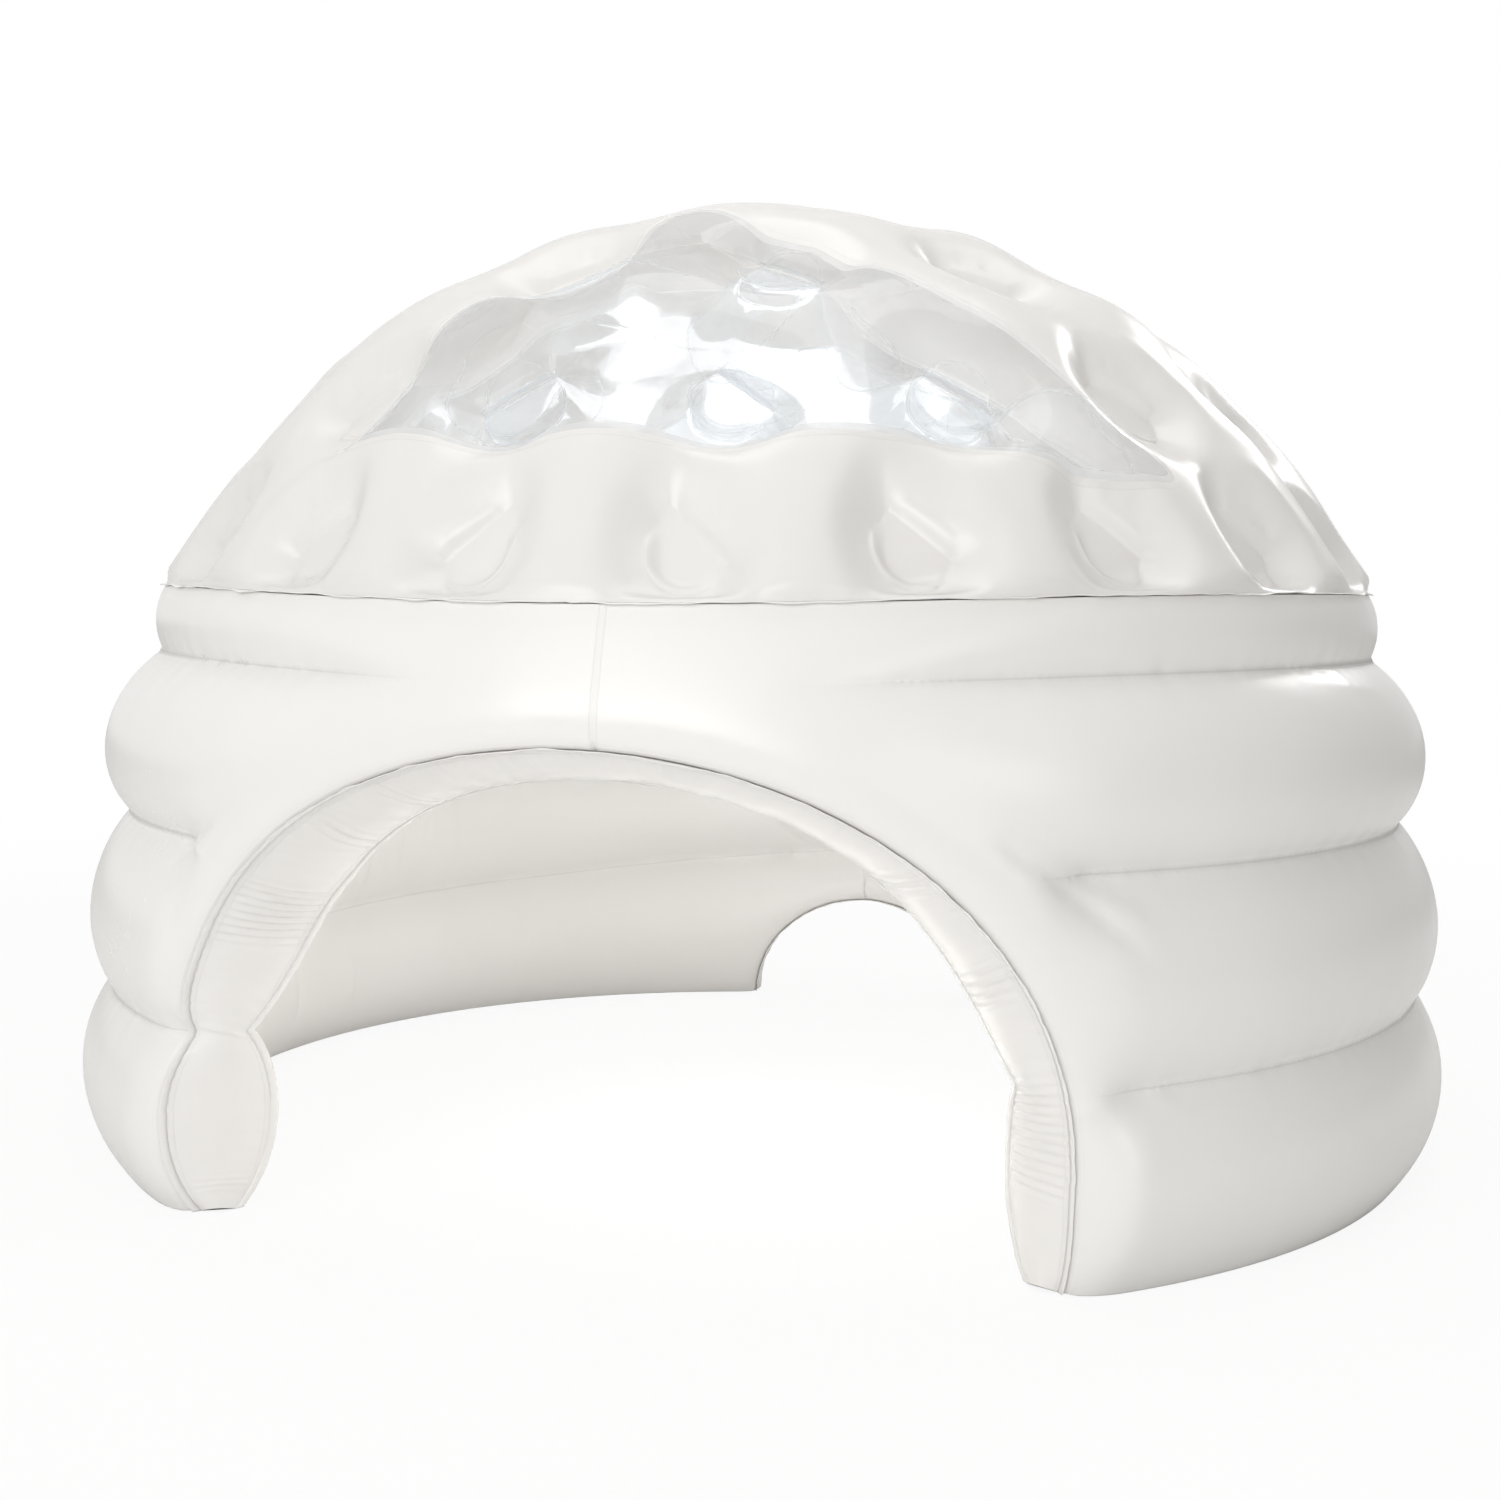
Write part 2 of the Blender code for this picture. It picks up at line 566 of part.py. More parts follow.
def ring_webs(white):
    """The webs that pinch the wall into rings, and the one that closes it under the dome."""
    start = FACADE_FADE_ANGLE
    angles = [start] + columns(start, 2 * math.pi - start) + [2 * math.pi - start]
    for level, name in ((1, "lower_ring_web"), (2, "upper_ring_web"), (3, "collar_web")):
        stations = []
        for angle in angles:
            near_rear = REAR.holds(angle * CHART_RADIUS, LEVELS[level], OUTER, 2 * REAR_LIP_WIDTH)
            inset = FILM + GAP + (WEB_REAR_INSET if near_rear else 0.0)
            stations.append((angle, angle, INNER_RADII[level] + inset, OUTER_RADII[level] - inset))
        height = LEVELS[level] + FILM / 2
        film_ring(name, stations, (height, height), white)
    around_all = [COLUMN_ANGLE * column for column in range(round(2 * math.pi / COLUMN_ANGLE))]
    flange_inner = DOME_SEAM_RADIUS - SEAM_FLANGE_WIDTH / 2
    flange_outer = DOME_SEAM_RADIUS + SEAM_FLANGE_WIDTH / 2
    flange = [(angle, angle, flange_inner, flange_outer) for angle in around_all]
    flange_heights = (SEAM_HEIGHT + FILM, SEAM_HEIGHT + FILM)
    film_ring("dome_seam_flange", flange, flange_heights, white, 2 * FILM, closed=True)
    slope = (SEAM_HEIGHT - INNER_SEAM_HEIGHT) / (flange_inner - GAP - INNER_SEAM_RADIUS)
    overlap = SEAM_FLANGE_WIDTH / 4
    web = [(angle, angle, INNER_SEAM_RADIUS - overlap, flange_inner - GAP) for angle in around_all]
    heights = (INNER_SEAM_HEIGHT - slope * overlap, SEAM_HEIGHT)
    film_ring("dome_base_web", web, heights, white, closed=True)


# Strips and weld flanges of the arches
def arch_pieces(arch, name, white):
    """The film that lines an arch, and the weld flanges along its outer and inner edges."""
    edges = []
    for skin in (OUTER, INNER):
        places = zip(arch.outline(skin), arch.outline(skin, GAP))
        edges.append([settle(around(inset[0] / CHART_RADIUS, wall_radius(*edge, skin), inset[1]))
                      for edge, inset in places])
    count = len(edges[0])
    aim = around(arch.middle / CHART_RADIUS, OUTER_FOOT_RADIUS, arch.heights[INNER] / 3)
    middles = []
    for outer, inner in zip(*edges):
        centre = (outer + inner) / 2
        across = aim - centre
        across -= across.project(inner - outer)
        middles.append(centre + across.normalized() * STRIP_PUFF)
        middles[-1].z = max(middles[-1].z, FOOT)
    rows = [edges[OUTER], middles, edges[INNER]]
    points = [point for row in rows for point in row]
    faces = []
    for start in (0, count):
        for step in range(start, start + count - 1):
            faces.append((step, step + 1, count + step + 1, count + step))
    film(f"{name}_arch_strip", points, faces, white)
    for skin, skin_name, side in ((OUTER, "outer", 1), (INNER, "inner", -1)):
        ribbon = []
        for point in edges[skin]:
            outward = Vector((point.x, point.y, 0.0)).normalized() * side
            ribbon.append(point + outward * GAP)
            ribbon.append(point + outward * WELD_FLANGE_WIDTH)
        quads = [(2 * step, 2 * step + 1, 2 * step + 3, 2 * step + 2) for step in range(count - 1)]
        film(f"{name}_arch_{skin_name}_flange", ribbon, quads, white, 2 * FILM, flip=side == -1)


# Dome skins on a chart around the crown
def disc_centres():
    """Chart places of the weld discs."""
    places = []
    for share, count, start in zip(ROW_REACH_SHARES, ROW_COUNTS, ROW_START_SHARES):
        for step in range(count):
            turn = 2 * math.pi * (step + start) / count
            reach = LOWEST_ROW_REACH * share
            places.append((reach * math.cos(turn), reach * math.sin(turn)))
    return places


DISCS = disc_centres()
DOME_SPOT_SLOPE = math.acos((DOME_VALVE_HEIGHT - DOME_CENTRE) / DOME_RADIUS)
DOME_SPOT = FlatSpot(DOME_VALVE_ANGLE + DOME_TURN, DOME_VALVE_HEIGHT - VALVE_INSET,
                     (DOME_RADIUS - VALVE_INSET) * math.sin(DOME_SPOT_SLOPE), math.pi / 2 - DOME_SPOT_SLOPE)


def quilt_depth(p, q):
    """How far a skin is drawn in at a place on the chart: fully on a disc, not at all between discs."""
    nearest = min(math.hypot(p - centre_p, q - centre_q) for centre_p, centre_q in DISCS)
    from_rim = DOME_RADIUS * RIM_SLOPE - math.hypot(p, q)
    depth = DIMPLE_DEPTH * (1 - round_shoulder((nearest - DISC_RADIUS) / (2 * DISC_RADIUS)))
    return depth * ease(from_rim / RIM_HOLD)


def dome_direction(p, q):
    """Direction from the dome's centre for a place on the chart."""
    slope = math.hypot(p, q) / DOME_RADIUS
    turn = math.atan2(q, p) + DOME_TURN
    return Vector((math.sin(slope) * math.sin(turn), -math.sin(slope) * math.cos(turn), math.cos(slope)))


def dome_point(p, q, skin, depth=0.0):
    """A place on a dome skin in space, or at a depth in its film."""
    direction = dome_direction(p, q)
    centre = Vector((0, 0, DOME_CENTRE))
    if skin == INNER:
        return settle(centre + direction * (INNER_DOME_RADIUS + quilt_depth(p, q) + depth))
    reach = DOME_RADIUS - quilt_depth(p, q)
    if DOME_SPOT.near(centre + direction * DOME_RADIUS):
        reach = (DOME_SPOT.origin - centre).dot(DOME_SPOT.normal) / direction.dot(DOME_SPOT.normal)
    return settle(centre + direction * (reach - depth))


def dome_chart_of(point):
    """Chart place of a point on the dome."""
    offset = point - Vector((0, 0, DOME_CENTRE))
    slope = offset.angle(Vector((0, 0, 1)))
    turn = math.atan2(offset.x, -offset.y) - DOME_TURN
    return (DOME_RADIUS * slope * math.cos(turn), DOME_RADIUS * slope * math.sin(turn))


def rim_outline():
    """The dome's lower edge, with its corners over the wall's columns."""
    reach = DOME_RADIUS * RIM_SLOPE
    turns = [COLUMN_ANGLE * column - DOME_TURN for column in range(round(2 * math.pi / COLUMN_ANGLE))]
    return [(reach * math.cos(turn), reach * math.sin(turn)) for turn in turns]


def window_outline(side):
    """Edge of a window: over the dome between its corners, then back along its sill. side 1 is the front."""
    sill_reach = LOWEST_ROW_REACH - WINDOW_SILL_MARGIN
    edge = list(zip(WINDOW_REACH_SHARES, WINDOW_ACROSS_SHARES))
    left, right = WINDOW_SILL_TURNS
    steps = round((right - left) * sill_reach / OUTLINE_SPACING)
    for step in range(steps + 1):
        turn = left + (right - left) * step / steps
        dropped = max((turn - WINDOW_DROP_TURN) / (right - WINDOW_DROP_TURN), 0.0)
        share = 1 + WINDOW_DROP_SHARE * dropped
        edge.append((share * math.cos(turn), share * math.sin(turn)))
    flat = [(sill_reach * p * side, sill_reach * q * side) for p, q in edge]
    loop = [swerved(spot, spot) or spot for spot in flat]
    seam = []
    for here, after in zip(loop, loop[1:] + loop[:1]):
        seam.append(here)
        middle = swerved(here, after)
        if middle and clear_of([here, after], middle, SEAM_SWERVE / 3):
            seam.append(middle)
    return seam


def swerved(start, end):
    """The place of a seam's piece nearest to a weld disc, moved clear of it, or None if it is clear."""
    start = Vector(start)
    along = Vector(end) - start
    best = None
    for disc in DISCS:
        offset = start - Vector(disc)
        offset += along * min(max(-offset.dot(along) / max(along.length_squared, FILM ** 2), 0.0), 1.0)
        if best is None or offset.length < best[0].length:
            best = (offset, disc)
    offset, disc = best
    if offset.length > SEAM_SWERVE - FILM:
        return None
    return tuple(Vector(disc) + offset.normalized() * SEAM_SWERVE)


def widened(loop, amount):
    """A closed loop on the chart moved outwards from its inside by an amount."""
    moved = []
    count = len(loop)
    area = sum(p0 * q1 - p1 * q0 for (p0, q0), (p1, q1) in zip(loop, loop[1:] + loop[:1]))
    turn = 1 if area > 0 else -1
    for index, here in enumerate(loop):
        before = Vector(loop[index - 1])
        after = Vector(loop[(index + 1) % count])
        along_in = (Vector(here) - before).normalized()
        along_out = (after - Vector(here)).normalized()
        normal = Vector((along_in.y + along_out.y, -along_in.x - along_out.x)).normalized() * turn
        stretch = 1 / max(normal.dot(Vector((along_in.y, -along_in.x)) * turn), FILM)
        moved.append(tuple(Vector(here) + normal * amount * stretch))
    return moved


def inside(loop, spot):
    """Whether a place lies inside a closed loop."""
    crossings = 0
    for (p0, q0), (p1, q1) in zip(loop, loop[1:] + loop[:1]):
        if (q0 > spot[1]) != (q1 > spot[1]):
            if spot[0] < p0 + (spot[1] - q0) * (p1 - p0) / (q1 - q0):
                crossings += 1
    return crossings % 2 == 1


def clear_of(loop, spot, margin):
    """Whether a place is at least the margin away from a loop's points."""
    return all(math.hypot(spot[0] - p, spot[1] - q) >= margin for p, q in loop)


def dome_fill(windows, rim):
    """Places inside the dome's panels: a ring round each weld disc, and an even spread between them."""
    reach = max(math.hypot(p, q) for p, q in rim)
    fill = []
    for centre_p, centre_q in DISCS:
        for step in range(6):
            turn = math.pi * step / 3 + math.atan2(centre_q, centre_p)
            fill.append((centre_p + DISC_RADIUS * math.cos(turn), centre_q + DISC_RADIUS * math.sin(turn)))
    rings = round(reach / DOME_SPACING)
    for ring in range(rings):
        radius = reach * ring / rings
        count = max(round(2 * math.pi * radius / DOME_SPACING), 1)
        for step in range(count):
            turn = 2 * math.pi * (step + 0.5 * (ring % 2)) / count
            spot = (radius * math.cos(turn), radius * math.sin(turn))
            if clear_of(DISCS, spot, DISC_MARGIN):
                fill.append(spot)
    return [spot for spot in fill if all(clear_of(loop, spot, POINT_MARGIN) for loop in windows + [rim])]


def dome_panel(name, skin, chart_and_faces, finish):
    """A panel of a dome skin."""
    chart, faces = chart_and_faces
    if skin == INNER:
        faces = [tuple(reversed(face)) for face in faces]
    layers = [[dome_point(p, q, skin, depth) for p, q in chart] for depth in (0.0, FILM)]
    panel(name, *layers, faces, finish)


def dome_skins(white, clear):
    """The white dome skins, each with a front and a rear opening, and the clear windows in them."""
    windows = {"front": window_outline(1), "rear": window_outline(-1)}
    for skin, name in ((OUTER, "outer"), (INNER, "inner")):
        rim = rim_outline()
        fill = dome_fill(list(windows.values()), rim)
        holes = [widened(loop, GAP + FILM) for loop in windows.values()]
        extra = []
        if skin == OUTER:
            hole, extra = spot_loops(DOME_SPOT, dome_chart_of)
            fill = [spot for spot in fill if not DOME_SPOT.near(
                Vector((0, 0, DOME_CENTRE)) + dome_direction(*spot) * DOME_RADIUS, SPOT_CLEARING)]
            holes.append(hole)
        white_fill = [spot for spot in fill if not any(inside(loop, spot) for loop in windows.values())]
        dome_panel(f"dome_{name}_skin", skin, triangulate(rim, holes, white_fill + extra), white)
        for side, loop in windows.items():
            clear_fill = [spot for spot in fill if inside(loop, spot)]
            dome_panel(f"{side}_window_{name}_film", skin, triangulate(loop, [], clear_fill), clear)


# Valves, each built round its own axis with its seat plane at zero height
def turned(name, profile, finish, seat, sides=VALVE_SIDES):
    """A closed ring turned from an outline of (radius, height) points, listed anticlockwise."""
    mesh = bpy.data.meshes.new(name)
    count = len(profile)
    points = []
    for step in range(sides):
        turn = 2 * math.pi * step / sides
        points += [(radius * math.cos(turn), radius * math.sin(turn), height) for radius, height in profile]
    faces = []
    for step in range(sides):
        here = step * count
        there = ((step + 1) % sides) * count
        for index in range(count):
            after = (index + 1) % count
            faces.append((here + index, there + index, there + after, here + after))
    mesh.from_pydata(points, [], faces)
    solid = bmesh.new()
    solid.from_mesh(mesh)
    bmesh.ops.remove_doubles(solid, verts=solid.verts, dist=GAP / 10)
    bmesh.ops.dissolve_degenerate(solid, edges=solid.edges, dist=GAP / 10)
    loose = [edge for edge in solid.edges if not edge.link_faces]
    bmesh.ops.delete(solid, geom=loose, context="EDGES")
    bmesh.ops.recalc_face_normals(solid, faces=solid.faces)
    solid.to_mesh(mesh)
    solid.free()
    return place(name, mesh, finish, seat)


def helper(piece, seat):
    """Hides a cutting or joining shape and puts it on the seat."""
    piece.hide_render = True
    piece.display_type = "WIRE"
    piece.parent = seat
    return piece


def combine(piece, other, operation):
    """Adds an exact Boolean to a piece."""
    step = piece.modifiers.new(operation.lower(), "BOOLEAN")
    step.operation = operation
    step.solver = "EXACT"
    step.object = other


def box_shape(name, low, high, seat):
    """A box between two corners, for joining or cutting."""
    mesh = bpy.data.meshes.new(name)
    solid = bmesh.new()
    bmesh.ops.create_cube(solid, size=1.0)
    size = Vector(high) - Vector(low)
    centre = (Vector(high) + Vector(low)) / 2
    stretch = Matrix.Translation(centre) @ Matrix.Diagonal((*size, 1.0))
    bmesh.ops.transform(solid, matrix=stretch, verts=solid.verts)
    solid.to_mesh(mesh)
    solid.free()
    shape = bpy.data.objects.new(name, mesh)
    bpy.context.collection.objects.link(shape)
    return helper(shape, seat)


SEAL_FOOT = NECK_RISE + GAP
HEAD_FOOT = SEAL_FOOT + SEAL_THICK + GAP
HEAD_TOP = HEAD_FOOT + HEAD_THICK
PORT_TOP = HEAD_TOP + PORT_RISE
GASKET_FOOT = PORT_TOP + GAP
CAP_CEILING = GASKET_FOOT + CAP_GASKET_THICK + GAP
CAP_TOP = CAP_CEILING + CAP_ROOF
KNOB_FOOT = CAP_TOP + CAP_NECK_HEIGHT
TETHER_LEVEL = KNOB_FOOT - GAP - TETHER_THICK
SPIDER_FOOT = -BODY_DEPTH
SPIDER_TOP = SPIDER_FOOT + SPIDER_THICK


def valve_seat(name, white, seat):
    """Flange welded on the skin, with the threaded neck that goes through it."""
    flange_foot = GAP
    flange_top = flange_foot + SEAT_FLANGE_THICK
    turned(f"{name}_valve_seat", [
        (NECK_INNER_RADIUS, -NECK_DEPTH), (NECK_OUTER_RADIUS, -NECK_DEPTH), (NECK_OUTER_RADIUS, flange_foot),
        (SEAT_FLANGE_RADIUS, flange_foot), (SEAT_FLANGE_RADIUS, flange_top), (NECK_OUTER_RADIUS, flange_top),
        (NECK_OUTER_RADIUS, NECK_RISE), (NECK_INNER_RADIUS, NECK_RISE)], white, seat)


def valve_stopper(name, white, rubber, seat):
    """Screw-in stopper with its seal ring: a body, a head, a port tube and the spider that holds the flap."""
    body = NECK_INNER_RADIUS - THREAD_CLEARANCE
    turned(f"{name}_valve_seal_ring", [
        (body + THREAD_CLEARANCE, SEAL_FOOT), (body + THREAD_CLEARANCE + SEAL_WIDTH, SEAL_FOOT),
        (body + THREAD_CLEARANCE + SEAL_WIDTH, SEAL_FOOT + SEAL_THICK),
        (body + THREAD_CLEARANCE, SEAL_FOOT + SEAL_THICK)], rubber, seat)
    stopper = turned(f"{name}_valve_stopper", [
        (SPIDER_HOLE_RADIUS, SPIDER_FOOT), (body, SPIDER_FOOT), (body, HEAD_FOOT), (HEAD_RADIUS, HEAD_FOOT),
        (HEAD_RADIUS, HEAD_TOP), (PORT_OUTER_RADIUS, HEAD_TOP), (PORT_OUTER_RADIUS, PORT_TOP),
        (PORT_INNER_RADIUS, PORT_TOP), (PORT_INNER_RADIUS, SPIDER_TOP), (SPIDER_HOLE_RADIUS, SPIDER_TOP)],
        white, seat)
    drills = bpy.data.meshes.new(f"{name} air holes")
    holes = bmesh.new()
    for step in range(AIR_HOLE_COUNT):
        turn = 2 * math.pi * (step + 0.5) / AIR_HOLE_COUNT
        centre = Vector((AIR_HOLE_CIRCLE * math.cos(turn), AIR_HOLE_CIRCLE * math.sin(turn),
                         (SPIDER_FOOT + SPIDER_TOP) / 2))
        bmesh.ops.create_cone(holes, cap_ends=True, segments=AIR_HOLE_SIDES, radius1=AIR_HOLE_RADIUS,
                              radius2=AIR_HOLE_RADIUS, depth=SPIDER_THICK + CUT_OVERRUN,
                              matrix=Matrix.Translation(centre))
    holes.to_mesh(drills)
    holes.free()
    cutter = bpy.data.objects.new(f"{name} air hole cutter", drills)
    bpy.context.collection.objects.link(cutter)
    combine(stopper, helper(cutter, seat), "DIFFERENCE")


def valve_flap(name, rubber, seat):
    """One-way flap under the spider, held by a bulb on its stem."""
    top = SPIDER_FOOT - GAP
    bulb = SPIDER_TOP + FLAP_TRAVEL + 2 * GAP
    bulb_top = bulb + BULB_HEIGHT
    turned(f"{name}_valve_flap", [
        (0.0, top - FLAP_THICK), (FLAP_RADIUS, top - FLAP_THICK), (FLAP_RADIUS, top), (STEM_RADIUS, top),
        (STEM_RADIUS, bulb), (BULB_RADIUS, bulb), (BULB_RADIUS, bulb_top), (0.0, bulb_top)],
        rubber, seat, HOLE_SIDES)


def valve_cap(name, white, rubber, seat):
    """Screw cap with its gasket: a skirt over the port tube, a roof, a neck for the tether and a knob."""
    inner = PORT_OUTER_RADIUS + THREAD_CLEARANCE
    foot = HEAD_TOP + CAP_FOOT_GAP
    gasket_top = GASKET_FOOT + CAP_GASKET_THICK
    turned(f"{name}_valve_cap_gasket", [
        (0.0, GASKET_FOOT), (PORT_OUTER_RADIUS, GASKET_FOOT), (PORT_OUTER_RADIUS, gasket_top),
        (0.0, gasket_top)], rubber, seat)
    turned(f"{name}_valve_cap", [
        (0.0, CAP_CEILING), (inner, CAP_CEILING), (inner, foot), (CAP_RADIUS, foot), (CAP_RADIUS, CAP_TOP),
        (CAP_NECK_RADIUS, CAP_TOP), (CAP_NECK_RADIUS, KNOB_FOOT), (KNOB_RADIUS, KNOB_FOOT),
        (KNOB_RADIUS, KNOB_FOOT + KNOB_HEIGHT), (0.0, KNOB_FOOT + KNOB_HEIGHT)], white, seat)


def valve_tether(name, white, seat):
    """Tether: a ring round the stopper's head, a strap, and a ring in the cap's neck groove."""
    cap_hole = CAP_NECK_RADIUS + TETHER_PLAY
    head_hole = HEAD_RADIUS + GAP
    head_outer = head_hole + TETHER_RING_WIDTH
    head_low = HEAD_TOP - TETHER_THICK
    tether = turned(f"{name}_valve_tether", [
        (head_hole, head_low), (head_outer, head_low), (head_outer, HEAD_TOP), (head_hole, HEAD_TOP)],
        white, seat)
    cap_ring = turned(f"{name} tether cap ring", [
        (cap_hole, TETHER_LEVEL), (cap_hole + TETHER_RING_WIDTH, TETHER_LEVEL),
        (cap_hole + TETHER_RING_WIDTH, TETHER_LEVEL + TETHER_THICK), (cap_hole, TETHER_LEVEL + TETHER_THICK)],
        white, seat)
    leg_top = TETHER_LEVEL + TETHER_THICK - GAP / 2
    leg = box_shape(f"{name} tether leg", (head_hole + GAP, -TETHER_WIDTH / 2, head_low + GAP),
                    (head_hole + GAP + TETHER_THICK, TETHER_WIDTH / 2, leg_top), seat)
    arm_top = TETHER_LEVEL + TETHER_THICK - GAP
    arm = box_shape(f"{name} tether arm", (cap_hole + TETHER_RING_WIDTH / 2, -TETHER_WIDTH / 2 + GAP,
                                           TETHER_LEVEL + GAP / 2),
                    (head_hole + TETHER_THICK, TETHER_WIDTH / 2 - GAP, arm_top), seat)
    combine(tether, leg, "UNION")
    combine(tether, arm, "UNION")
    combine(tether, helper(cap_ring, seat), "UNION")


def valve(name, spot, white, rubber):
    """One whole valve on its flat spot."""
    seat = bpy.data.objects.new(f"{name} valve axis", None)
    bpy.context.collection.objects.link(seat)
    turn = Matrix((spot.side, spot.up, spot.normal)).transposed()
    seat.matrix_world = Matrix.Translation(spot.origin) @ turn.to_4x4()
    valve_seat(name, white, seat)
    valve_stopper(name, white, rubber, seat)
    valve_flap(name, rubber, seat)
    valve_cap(name, white, rubber, seat)
    valve_tether(name, white, seat)


for old in list(bpy.data.objects):
    bpy.data.objects.remove(old, do_unlink=True)
white_film = material("white film", (0.86, 0.85, 0.83), 0.22)
clear_film = material("clear film", (0.80, 0.86, 0.90), 0.05, 0.25)
white_plastic = material("white plastic", (0.84, 0.84, 0.82), 0.35)
grey_rubber = material("grey rubber", (0.30, 0.31, 0.32), 0.60)
wall_skins(white_film)
base_strips(white_film)
ring_webs(white_film)
arch_pieces(FRONT, "front", white_film)
arch_pieces(REAR, "rear", white_film)
dome_skins(white_film, clear_film)
valve("wall", WALL_SPOT, white_plastic, grey_rubber)
valve("dome", DOME_SPOT, white_plastic, grey_rubber)
for piece in bpy.data.objects:
    if piece.parent is None:
        piece.location.y -= AXIS_FORWARD
bpy.context.view_layer.update()
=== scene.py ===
"""Inflatable igloo tent of welded PVC film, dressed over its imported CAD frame.

Sections follow the order in which the tent is welded together. Places on the wall are given as an angle from
the front arch's middle, growing towards +X, and a height; places on the dome by a flat chart round its crown.
All measures are in metres.
"""
import math

import bmesh
import bpy
import numpy as np
from mathutils import Matrix, Vector, kdtree, noise
from mathutils.geometry import delaunay_2d_cdt


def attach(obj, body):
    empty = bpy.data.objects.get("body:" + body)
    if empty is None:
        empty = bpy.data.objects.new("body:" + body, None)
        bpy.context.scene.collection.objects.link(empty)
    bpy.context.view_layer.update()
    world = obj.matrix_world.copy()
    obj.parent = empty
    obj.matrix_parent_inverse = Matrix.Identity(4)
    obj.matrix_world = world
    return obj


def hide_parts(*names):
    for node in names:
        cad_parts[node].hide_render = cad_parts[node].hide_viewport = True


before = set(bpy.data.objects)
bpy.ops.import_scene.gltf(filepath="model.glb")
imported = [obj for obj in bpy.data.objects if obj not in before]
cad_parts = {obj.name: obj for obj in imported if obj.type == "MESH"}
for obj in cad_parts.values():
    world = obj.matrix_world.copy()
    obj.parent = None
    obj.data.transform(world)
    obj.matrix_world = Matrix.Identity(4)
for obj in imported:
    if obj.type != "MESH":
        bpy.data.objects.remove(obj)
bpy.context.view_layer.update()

# Base strips: the two pieces of film that the tent stands on, between the feet of the outer and inner skin.
# Cut from the same white PVC film as the wall and welded to both skins along their edges.
AXIS_FORWARD = 0.033
FILM = 0.0005
GAP = 0.0003
FOOT = FILM + GAP
# Heights of the creases from the floor to the dome seam, and each skin's radii there and bulges between them
LEVELS = np.array([0.0, 0.234, 0.476, 0.701, 0.792])
SEAM_HEIGHT = LEVELS[-1]
OUTER_RADII = np.array([0.955, 0.958, 0.929, 0.885, 0.881])
OUTER_BULGES = np.array([0.0435, 0.0435, 0.055, 0.012])
DOME_HEIGHT = 0.553
DOME_RADIUS = (OUTER_RADII[-1] ** 2 + DOME_HEIGHT ** 2) / (2 * DOME_HEIGHT)
DOME_CENTRE = SEAM_HEIGHT + DOME_HEIGHT - DOME_RADIUS
DIMPLE_DEPTH = 0.040
INNER_DOME_RADIUS = DOME_RADIUS - 2 * DIMPLE_DEPTH - 2 * FILM - GAP
HEM_THICKNESS = 0.0012
RIM_SLOPE = math.acos((SEAM_HEIGHT + HEM_THICKNESS - DOME_CENTRE) / DOME_RADIUS)
INNER_SEAM_RADIUS = INNER_DOME_RADIUS * math.sin(RIM_SLOPE)
INNER_SEAM_HEIGHT = DOME_CENTRE + INNER_DOME_RADIUS * math.cos(RIM_SLOPE) - HEM_THICKNESS
INNER_LEVELS = np.array([0.0, 0.234, 0.476, 0.701, INNER_SEAM_HEIGHT])
INNER_RADII = np.array([0.860, 0.850, 0.835, 0.803, INNER_SEAM_RADIUS])
INNER_BULGES = np.array([0.045, 0.045, 0.032, 0.008])
FACADE_BULGE = 0.055
CHART_RADIUS = OUTER_RADII[0]
HALF_TURN = math.pi * CHART_RADIUS
OUTER, INNER = 0, 1
TOPS = (SEAM_HEIGHT - FILM - GAP, INNER_SEAM_HEIGHT - FILM - 2 * GAP)
SIDES = ((1, "right"), (-1, "left"))
# The dome seam sags over the front arch, where nothing stands under the wall
SEAM_SAG = 0.022
SAG_ANGLE = math.radians(40)
SAG_REACH = 0.40


